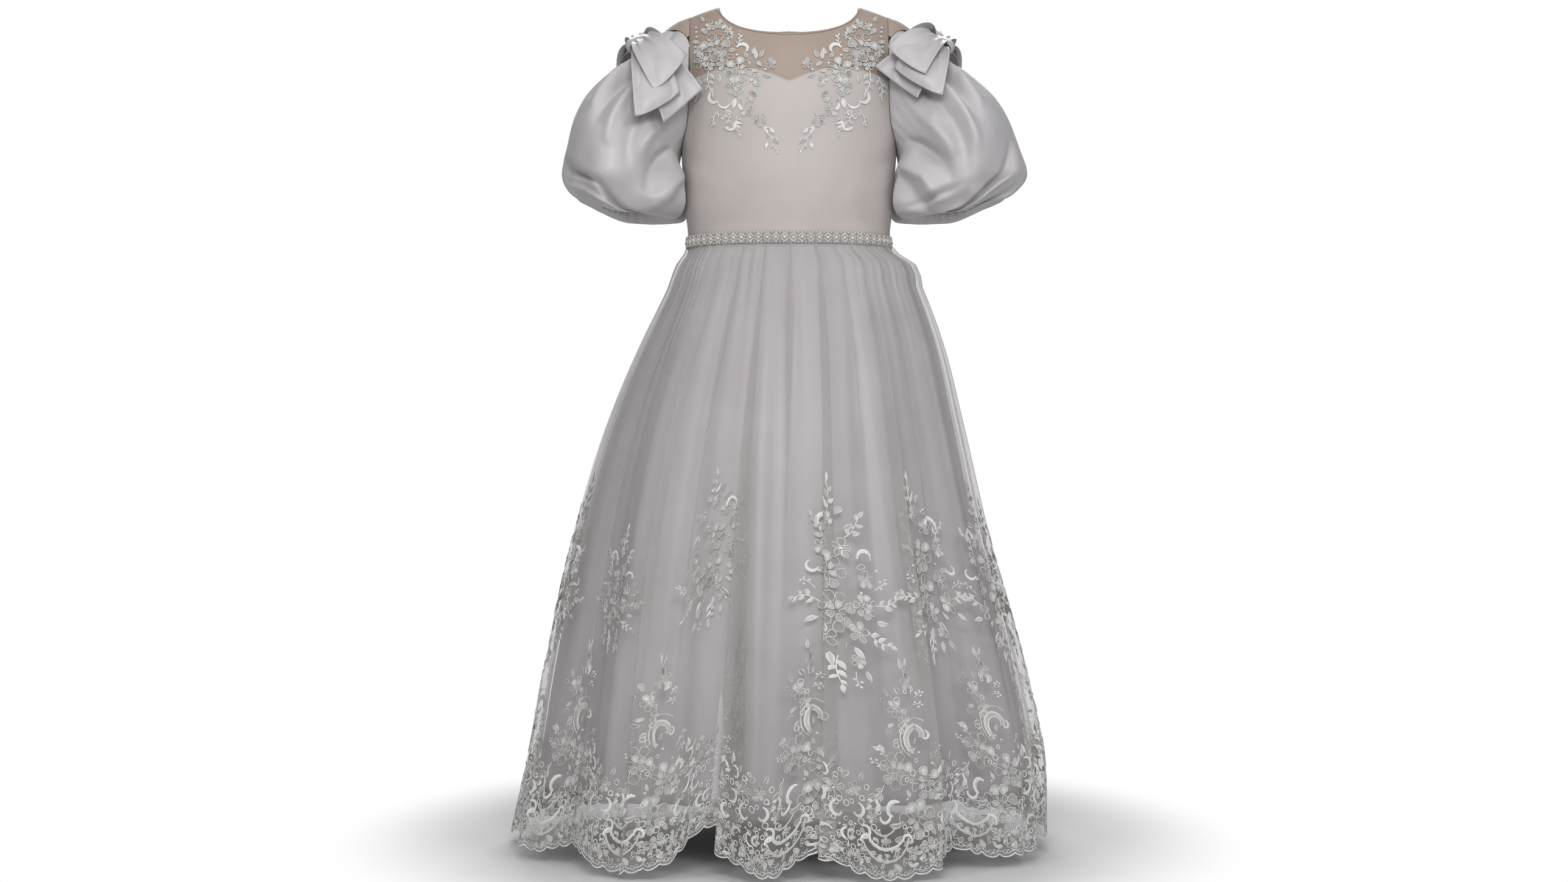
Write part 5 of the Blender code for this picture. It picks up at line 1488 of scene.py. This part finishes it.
    def ring(self, x, y, radius):
        """An open loop of cord."""
        self.cord([swung(x, y, radius, turn) for turn in range(0, 361, 45)], 1.0)

    def berry(self, x, y, radius=1.7):
        """A small round patch of stitches."""
        self.petal(x - radius, y, 0, radius * 2, radius * 2.0, 0.85)

    def flower(self, x, y, radius, count, turn):
        """Open petals round a small eye."""
        for index in range(count):
            angle = turn + 360 * index / count
            length = radius * (0.86 + 0.08 * math.sin(index * 2.3))
            self.petal(*swung(x, y, radius * 0.16, angle), angle, length, radius * 4.2 / count)
        self.berry(x, y, max(radius * 0.17, 0.9))

    def rose(self, x, y, radius, turn=0.0):
        """A full rose: an outer ring of broad petals, an inner ring and a closed heart."""
        for index in range(7):
            angle = turn + 360 * index / 7 + 6 * math.sin(index * 1.9)
            length = radius * (0.60 + 0.06 * math.sin(index * 2.9))
            self.petal(*swung(x, y, radius * 0.44, angle), angle, length, radius * 0.72)
        for index in range(5):
            angle = turn + 26 + 360 * index / 5
            self.petal(*swung(x, y, radius * 0.10, angle), angle, radius * 0.46, radius * 0.44)

    def curl(self, x, y, radius, start, sweep, width, inner=0.35, tone=None, taper=0.5):
        """A scroll that winds inwards from its first radius to its inner share."""
        points = []
        steps = max(8, int(abs(sweep) / 22))
        for index in range(steps + 1):
            share = index / steps
            reach = radius * (1 - (1 - inner) * share)
            points.append(swung(x, y, reach, start + sweep * share))
        self.band(points, (width * 0.4, width, width, width * 0.8, width * taper), tone)

    def sprig(self, x, y, turn, length, leaves=3, tone=None, bend=0.2):
        """A stem with leaves that alternate along it, uneven in size, and one at its end."""
        shares = (0.0, 0.25, 0.5, 0.75, 1.0)
        stem = [stem_place(x, y, turn, length, bend, share) for share in shares]
        self.cord(stem, 0.9)
        for index in range(leaves * 2 - 1):
            foot = stem_place(x, y, turn, length, bend, 0.2 + 0.68 * index / (leaves * 2 - 2))
            hand = 1 if index % 2 else -1
            away = turn + hand * (44 + 9 * math.sin(index + y))
            size = length * (0.36 - 0.03 * index + 0.05 * math.sin(index * 2.4 + x))
            self.leaf(foot[0], foot[1], away, size, size * 0.5, 0.2 * hand, tone)
        end = stem[-1]
        self.leaf(end[0], end[1], turn, length * 0.32, length * 0.15, tone=tone)

    def berries(self, x, y, turn, length):
        """A thin stem that forks into berries."""
        line, side = direction(turn)
        foot = np.array((x, y))
        self.cord([foot, foot + line * length * 0.5 + side * 0.8, foot + line * length], 0.8)
        for share, away in ((0.55, 2.6), (0.75, -2.8), (1.0, 1.6), (1.12, -1.6)):
            spot = foot + line * length * share + side * away
            self.berry(spot[0], spot[1], 1.5)

    def cloth(self, name):
        """The drawing as a mesh, in metres."""
        bmesh.ops.scale(self.mesh, vec=(0.001, 0.001, 0.001), verts=self.mesh.verts)
        bmesh.ops.recalc_face_normals(self.mesh, faces=self.mesh.faces)
        for face in self.mesh.faces:
            if face.normal.z < 0:
                face.normal_flip()
        return as_mesh(name, self.mesh)


def laid(name, drawing, repeats, spot):
    """Copies of a drawing laid on a surface: repeats gives each one's offset across and up, its
    scale and its hand, and spot takes flat places and their height over the cloth."""
    copies = bmesh.new()
    for _ in repeats:
        copies.from_mesh(drawing)
    mesh = as_mesh(name, copies)
    flat = places_of(drawing)
    parts = []
    for across, up, scale, hand in repeats:
        x = across + flat[:, 0] * scale * hand
        parts.append(np.stack((x, up + flat[:, 1] * scale, flat[:, 2]), axis=-1))
    flat = np.concatenate(parts)
    mesh.vertices.foreach_set("co", spot(flat[:, 0], flat[:, 1], flat[:, 2]).ravel())
    piece = placed(name, mesh, finish("lace"))
    return piece


def cloth_line(up):
    """Turns round the net at a height over its hem, and the length of cloth up to each from centre back."""
    turn = np.linspace(-BACK_TURN, BACK_TURN, 9001)
    line = overskirt(turn, hem_drop(turn) - up)
    return turn, lengths_along(line)


HEM_TURNS, HEM_LENGTHS = cloth_line(BORDER_MIDDLE)
SPRAY_TURNS, SPRAY_LENGTHS = cloth_line(SPRAY_MIDDLE)
UNIT_WIDTH = HEM_LENGTHS[-1] / BORDER_UNITS


def edge_depth(along):
    """How far the scalloped edge hangs below the hem's line, along the cloth."""
    share = along / UNIT_WIDTH % 1.0
    cusps = np.array(CUSPS)
    index = np.clip(np.searchsorted(cusps, share, side="right") - 1, 0, len(cusps) - 2)
    part = (share - cusps[index]) / (cusps[index + 1] - cusps[index])
    arch = np.maximum(np.sin(np.pi * part), 0.0) ** 0.7
    return 0.0042 * arch + 0.0034 * np.cos(2 * np.pi * (share - 0.28)) - 0.0022


def on_net(along, up, over):
    """A place on the net: along its hem, up from the hem's line, over its surface."""
    turn = np.interp(along, HEM_LENGTHS, HEM_TURNS)
    return moved_out(overskirt, turn, hem_drop(turn) - up, over + LACE_LIFT, NET_STEPS)


def on_net_high(along, up, over):
    """The same for the sprays, with the length taken at their own middle height."""
    turn = np.interp(along, SPRAY_LENGTHS, SPRAY_TURNS)
    return moved_out(overskirt, turn, hem_drop(turn) - up, over + LACE_LIFT, NET_STEPS)


def border_drawing():
    """One repeat of the border, drawn flat."""
    lace = Lace()
    width = UNIT_WIDTH * 1000
    grow = width / BORDER_DRAWN_WIDTH
    # Scalloped edge with its row of loops
    shares = np.linspace(0, 1, EDGE_STEPS + 1)
    edge = [(x * width, -edge_depth(np.array(x * width / 1000)) * 1000 + 0.7) for x in shares]
    for first in range(0, EDGE_STEPS, CORD_STEPS):
        lace.cord(edge[first:first + CORD_STEPS + 1], 1.5)
    inner = [(x, y + 4.2 + 0.9 * math.sin(index * 1.7)) for index, (x, y) in enumerate(edge)]
    for first in range(0, EDGE_STEPS, CORD_STEPS):
        lace.cord(inner[first:first + CORD_STEPS + 1], 0.8)
    for index in range(EDGE_LOOPS):
        at = (index + 0.5) / EDGE_LOOPS
        low = -edge_depth(np.array(at * width / 1000)) * 1000
        lace.petal(at * width, low + 8.6, 270 + 12 * math.sin(index * 2.1), 6.0, 6.0, 0.0)
    for kind, x, y, *rest in BORDER:
        getattr(lace, kind)(x * grow, y, *rest)
    for index in range(LOOSE_PETALS):
        at = (index + 0.5) / LOOSE_PETALS
        low = -edge_depth(np.array(at * width / 1000)) * 1000
        y = low + 15 + 6 * math.sin(index * 2.4)
        lace.petal(at * width, y, 90 + 70 * math.sin(index * 1.7), 7.5, 5.4)
        y = low + 34 + 9 * math.sin(index * 2.9)
        lace.petal(at * width, y, 90 + 120 * math.sin(index * 2.2), 7.0, 4.8)
    for index, (x, y) in enumerate(LOOPS):
        lace.ring(x * grow, y, 2.6 + 0.7 * math.sin(index * 2.7))
    return lace.cloth("border_drawing")


def hem_lace():
    """The lace border round the hem."""
    border = border_drawing()
    half = BORDER_UNITS // 2
    for side, first, last in (("left", half, BORDER_UNITS), ("right", 0, half)):
        repeats = [(index * UNIT_WIDTH, 0.0, 1.0, 1) for index in range(first, last)]
        laid(f"hem_lace_{side}", border, repeats, on_net)


def spray_lace():
    """The sprays above the border."""
    lace = Lace()
    for kind, x, y, *rest in SPRAY:
        getattr(lace, kind)(x * SPRAY_SPREAD, y, *rest)
    drawing = lace.cloth("spray_drawing")
    for side, hand in (("left", 1), ("right", -1)):
        repeats = []
        for turn, up, scale, way in SPRAYS:
            if turn * hand > 0:
                repeats.append((float(np.interp(turn, SPRAY_TURNS, SPRAY_LENGTHS)), up, scale, way))
        laid(f"spray_lace_{side}", drawing, repeats, on_net_high)


def bodice_lace():
    """The lace over the shoulders and the front of the bodice."""
    for hand, side in SIDES.items():
        lace = Lace()
        for kind, x, y, *rest in APPLIQUE:
            getattr(lace, kind)(x, y, *rest)
        drawing = lace.cloth("applique_drawing")

        def spot(x, z, over, hand=hand):
            return form_at(x, z, over + APPLIQUE_LIFT) * np.array((hand, 1, 1))

        piece = laid(f"applique_{side}", drawing, [(0.0, 0.0, 1.0, 1)], spot)
        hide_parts(f"applique_{side}")


# Stage


def area_light(name, place, width, power, color):
    """A lamp that points at the middle of the dress."""
    lamp = bpy.data.lights.new(name, "AREA")
    lamp.shape = "RECTANGLE"
    lamp.size = width[0]
    lamp.size_y = width[1]
    lamp.energy = power
    lamp.color = color
    thing = linked(name, lamp)
    thing.location = place
    thing.rotation_euler = (Vector(LIGHT_TARGET) - Vector(place)).to_track_quat("-Z", "Y").to_euler()


def studio_floor():
    """A wide floor that keeps the dress's shade near it and is white further out."""
    floor_mesh = bmesh.new()
    bmesh.ops.create_grid(floor_mesh, x_segments=8, y_segments=8, size=FLOOR_HALF_SIZE)
    mesh = as_mesh("floor", floor_mesh)
    floor = linked("floor", mesh)
    floor.location.z = bpy.context.scene.dress_look.floor_height
    mesh.materials.append(floor_finish())


def floor_finish():
    """A grey floor under the dress that fades to white where the camera sees it."""
    made, nodes, links, shader = new_finish("floor")
    shader.inputs["Base Color"].default_value = FLOOR_COLOR
    shader.inputs["Roughness"].default_value = 0.9
    shader.inputs["Specular IOR Level"].default_value = 0.1
    here = node(nodes, "ShaderNodeTexCoord")
    under = node(nodes, "ShaderNodeMapping")
    under.inputs["Scale"].default_value = (1 / SHADE_REACH[0], 1 / SHADE_REACH[1], 0.0)
    under.inputs["Location"].default_value = (0.0, -SHADE_CENTRE / SHADE_REACH[1], 0.0)
    links.new(here.outputs["Object"], under.inputs["Vector"])
    far = node(nodes, "ShaderNodeVectorMath", operation="LENGTH")
    links.new(under.outputs["Vector"], far.inputs[0])
    fade = node(nodes, "ShaderNodeMapRange", interpolation_type="SMOOTHSTEP")
    fade.inputs["From Min"].default_value = SHADE_FADE[0]
    fade.inputs["From Max"].default_value = SHADE_FADE[1]
    links.new(far.outputs["Value"], fade.inputs["Value"])
    rays = node(nodes, "ShaderNodeLightPath")
    both = node(nodes, "ShaderNodeMath", operation="MULTIPLY")
    links.new(fade.outputs["Result"], both.inputs[0])
    links.new(rays.outputs["Is Camera Ray"], both.inputs[1])
    white = node(nodes, "ShaderNodeEmission")
    white.inputs["Strength"].default_value = 1.0
    blend = node(nodes, "ShaderNodeMixShader")
    links.new(both.outputs["Value"], blend.inputs["Fac"])
    links.new(shader.outputs["BSDF"], blend.inputs[1])
    links.new(white.outputs["Emission"], blend.inputs[2])
    links.new(blend.outputs["Shader"], nodes["Material Output"].inputs["Surface"])
    return made


def studio_world():
    """Soft light from all round, and white where the camera sees it."""
    world = bpy.data.worlds.new("studio")
    world.use_nodes = True
    bpy.context.scene.world = world
    nodes, links = world.node_tree.nodes, world.node_tree.links
    soft = nodes["Background"]
    soft.inputs["Color"].default_value = WORLD_COLOR
    soft.inputs["Strength"].default_value = bpy.context.scene.dress_look.world_light
    seen = node(nodes, "ShaderNodeBackground")
    seen.inputs["Color"].default_value = WHITE
    rays = node(nodes, "ShaderNodeLightPath")
    blend = node(nodes, "ShaderNodeMixShader")
    links.new(rays.outputs["Is Camera Ray"], blend.inputs["Fac"])
    links.new(soft.outputs["Background"], blend.inputs[1])
    links.new(seen.outputs["Background"], blend.inputs[2])
    links.new(blend.outputs["Shader"], nodes["World Output"].inputs["Surface"])


def studio_camera():
    """The camera, level and in front."""
    lens = bpy.data.cameras.new("camera")
    lens.lens = CAMERA_LENS
    lens.sensor_width = CAMERA_SENSOR
    lens.clip_start = CAMERA_NEAR
    camera = linked("camera", lens)
    camera.location = CAMERA_PLACE
    camera.rotation_euler = (math.radians(90), 0, 0)
    bpy.context.scene.camera = camera


# The add-on


class DressLook(bpy.types.PropertyGroup):
    """Colours and finishes of the dress, and the light on it."""

    satin: bpy.props.FloatVectorProperty(
        name="Satin", description="Colour of the bodice satin",
        subtype="COLOR", default=(0.475, 0.435, 0.419))
    satin_shade: bpy.props.FloatVectorProperty(
        name="Satin shade", description="Its darker tone",
        subtype="COLOR", default=(0.44, 0.402, 0.387))
    sleeve: bpy.props.FloatVectorProperty(
        name="Sleeve satin", description="Colour of the sleeves and ribbons",
        subtype="COLOR", default=(0.52, 0.500, 0.508))
    sleeve_shade: bpy.props.FloatVectorProperty(
        name="Sleeve shade", description="Its darker tone",
        subtype="COLOR", default=(0.45, 0.435, 0.445))
    lining: bpy.props.FloatVectorProperty(
        name="Underskirt satin", description="Colour of the underskirt",
        subtype="COLOR", default=(0.525, 0.498, 0.514))
    lining_shade: bpy.props.FloatVectorProperty(
        name="Underskirt shade", description="Its darker tone",
        subtype="COLOR", default=(0.470, 0.446, 0.460))
    net: bpy.props.FloatVectorProperty(
        name="Net", description="Colour of the sheer overskirt",
        subtype="COLOR", default=(0.49, 0.463, 0.455))
    net_shade: bpy.props.FloatVectorProperty(
        name="Net shade", description="Its darker tone",
        subtype="COLOR", default=(0.44, 0.415, 0.405))
    nude: bpy.props.FloatVectorProperty(
        name="Nude net", description="Colour of the yoke",
        subtype="COLOR", default=(0.42, 0.34, 0.287))
    nude_shade: bpy.props.FloatVectorProperty(
        name="Nude net shade", description="Its darker tone",
        subtype="COLOR", default=(0.37, 0.295, 0.247))
    lace: bpy.props.FloatVectorProperty(
        name="Lace", description="Colour of the lace where it is lightest",
        subtype="COLOR", default=(0.93, 0.93, 0.91))
    # Painted shade: the lace's darker fills and the feet of its cords are coloured towards this
    lace_shade: bpy.props.FloatVectorProperty(
        name="Lace shade", description="Colour of its darkest fills",
        subtype="COLOR", default=(0.21, 0.20, 0.19))
    satin_roughness: bpy.props.FloatProperty(
        name="Satin roughness", description="Spread of the satin's sheen", default=0.46, min=0.1, max=0.9)
    net_cover: bpy.props.FloatProperty(
        name="Net cover", description="Share of the net that threads cover", default=0.32, min=0.02, max=0.9)
    floor_height: bpy.props.FloatProperty(
        name="Floor", description="Height of the floor", subtype="DISTANCE", unit="LENGTH", default=-0.9595)
    light_power: bpy.props.FloatProperty(
        name="Light", description="Share of the lamps' power", default=1.0, min=0.0, max=4.0)
    world_light: bpy.props.FloatProperty(
        name="Fill", description="Light from all round", default=0.19, min=0.0, max=3.0)


class DRESS_OT_stage(bpy.types.Operator):
    """Make the floor, the lights, the world and the camera."""

    bl_idname = "dress.stage"
    bl_label = "Stage"
    bl_options = {"REGISTER", "UNDO"}

    def execute(self, context):
        studio_floor()
        studio_world()
        for name, place, width, power, color in LIGHTS:
            area_light(name, place, width, power * context.scene.dress_look.light_power, color)
        studio_camera()
        context.scene.view_settings.view_transform = "Standard"
        return {"FINISHED"}


class DRESS_OT_bodice(bpy.types.Operator):
    """Make the three satin panels of the bodice."""

    bl_idname = "dress.bodice"
    bl_label = "Bodice"
    bl_options = {"REGISTER", "UNDO"}

    def execute(self, context):
        bodice("bodice_front", True, 1)
        bodice("bodice_back_left", False, 1)
        bodice("bodice_back_right", False, -1)
        return {"FINISHED"}


class DRESS_OT_yoke(bpy.types.Operator):
    """Make the sheer yoke and its bound neck edge."""

    bl_idname = "dress.yoke"
    bl_label = "Yoke"
    bl_options = {"REGISTER", "UNDO"}

    def execute(self, context):
        yoke("yoke_front", True, 1)
        yoke("yoke_back_left", False, 1)
        yoke("yoke_back_right", False, -1)
        neck_roll()
        return {"FINISHED"}


class DRESS_OT_underskirt(bpy.types.Operator):
    """Make the satin underskirt."""

    bl_idname = "dress.underskirt"
    bl_label = "Underskirt"
    bl_options = {"REGISTER", "UNDO"}

    def execute(self, context):
        underskirt_panel("underskirt_front", -90, 90)
        underskirt_panel("underskirt_back_left", 90, BACK_TURN)
        underskirt_panel("underskirt_back_right", -BACK_TURN, -90)
        return {"FINISHED"}


class DRESS_OT_overskirt(bpy.types.Operator):
    """Make the gathered sheer overskirt."""

    bl_idname = "dress.overskirt"
    bl_label = "Overskirt"
    bl_options = {"REGISTER", "UNDO"}

    def execute(self, context):
        overskirt_panel("overskirt_front", -90, 90, OVERSKIRT_FRONT_COLUMNS)
        overskirt_panel("overskirt_back_left", 90, BACK_TURN, OVERSKIRT_BACK_COLUMNS)
        overskirt_panel("overskirt_back_right", -BACK_TURN, -90, OVERSKIRT_BACK_COLUMNS)
        return {"FINISHED"}


class DRESS_OT_hem_lace(bpy.types.Operator):
    """Make the lace border and the sprays of the overskirt."""

    bl_idname = "dress.hem_lace"
    bl_label = "Hem lace"
    bl_options = {"REGISTER", "UNDO"}

    def execute(self, context):
        hem_lace()
        spray_lace()
        return {"FINISHED"}


class DRESS_OT_bodice_lace(bpy.types.Operator):
    """Make the lace of the shoulders and the bodice."""

    bl_idname = "dress.bodice_lace"
    bl_label = "Bodice lace"
    bl_options = {"REGISTER", "UNDO"}

    def execute(self, context):
        bodice_lace()
        return {"FINISHED"}


class DRESS_OT_belt(bpy.types.Operator):
    """Make the beaded belt."""

    bl_idname = "dress.belt"
    bl_label = "Belt"
    bl_options = {"REGISTER", "UNDO"}

    def execute(self, context):
        belt_beads()
        belt()
        return {"FINISHED"}


class DRESS_OT_sleeves(bpy.types.Operator):
    """Make the bubble sleeves, their caps and bands."""

    bl_idname = "dress.sleeves"
    bl_label = "Sleeves"
    bl_options = {"REGISTER", "UNDO"}

    def execute(self, context):
        for hand in SIDES:
            cuff(hand)
            sleeve_piece(hand)
            sleeve_cap(hand)
        return {"FINISHED"}


class DRESS_OT_bows(bpy.types.Operator):
    """Make the shoulder bows."""

    bl_idname = "dress.bows"
    bl_label = "Bows"
    bl_options = {"REGISTER", "UNDO"}

    def execute(self, context):
        for row in BOW:
            bow_ribbon(*row)
        for hand in SIDES:
            bow_knot(hand)
        return {"FINISHED"}


class DRESS_OT_zip(bpy.types.Operator):
    """Give the zip its finishes."""

    bl_idname = "dress.zip"
    bl_label = "Zip"
    bl_options = {"REGISTER", "UNDO"}

    def execute(self, context):
        for name, shown in ZIP_FINISHES.items():
            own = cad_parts[name].data.materials
            own.clear()
            own.append(finish(shown))
        return {"FINISHED"}


OPERATORS = (
    DRESS_OT_stage,
    DRESS_OT_bodice,
    DRESS_OT_yoke,
    DRESS_OT_underskirt,
    DRESS_OT_overskirt,
    DRESS_OT_hem_lace,
    DRESS_OT_bodice_lace,
    DRESS_OT_belt,
    DRESS_OT_sleeves,
    DRESS_OT_bows,
    DRESS_OT_zip,
)


class DRESS_PT_panel(bpy.types.Panel):
    """The dress's sizes, finishes and steps."""

    bl_label = "Dress"
    bl_idname = "DRESS_PT_panel"
    bl_space_type = "VIEW_3D"
    bl_region_type = "UI"
    bl_category = "Dress"

    def draw(self, context):
        look = context.scene.dress_look
        for name in look.bl_rna.properties.keys():
            if name not in ("rna_type", "name"):
                self.layout.prop(look, name)
        for step in OPERATORS:
            self.layout.operator(step.bl_idname, text=step.bl_label)


CLASSES = (DressLook, *OPERATORS, DRESS_PT_panel)


def register():
    """Adds the classes, and the look's sizes and colours to the scene."""
    for made in CLASSES:
        bpy.utils.register_class(made)
    bpy.types.Scene.dress_look = bpy.props.PointerProperty(type=DressLook)


def unregister():
    """Takes them away again."""
    del bpy.types.Scene.dress_look
    for made in reversed(CLASSES):
        bpy.utils.unregister_class(made)


def main():
    """Makes the stage and every piece."""
    register()
    bpy.ops.dress.stage()
    bpy.ops.dress.bodice()
    bpy.ops.dress.yoke()
    bpy.ops.dress.underskirt()
    bpy.ops.dress.overskirt()
    bpy.ops.dress.hem_lace()
    bpy.ops.dress.bodice_lace()
    bpy.ops.dress.belt()
    bpy.ops.dress.sleeves()
    bpy.ops.dress.bows()
    bpy.ops.dress.zip()


if __name__ == "__main__":
    main()
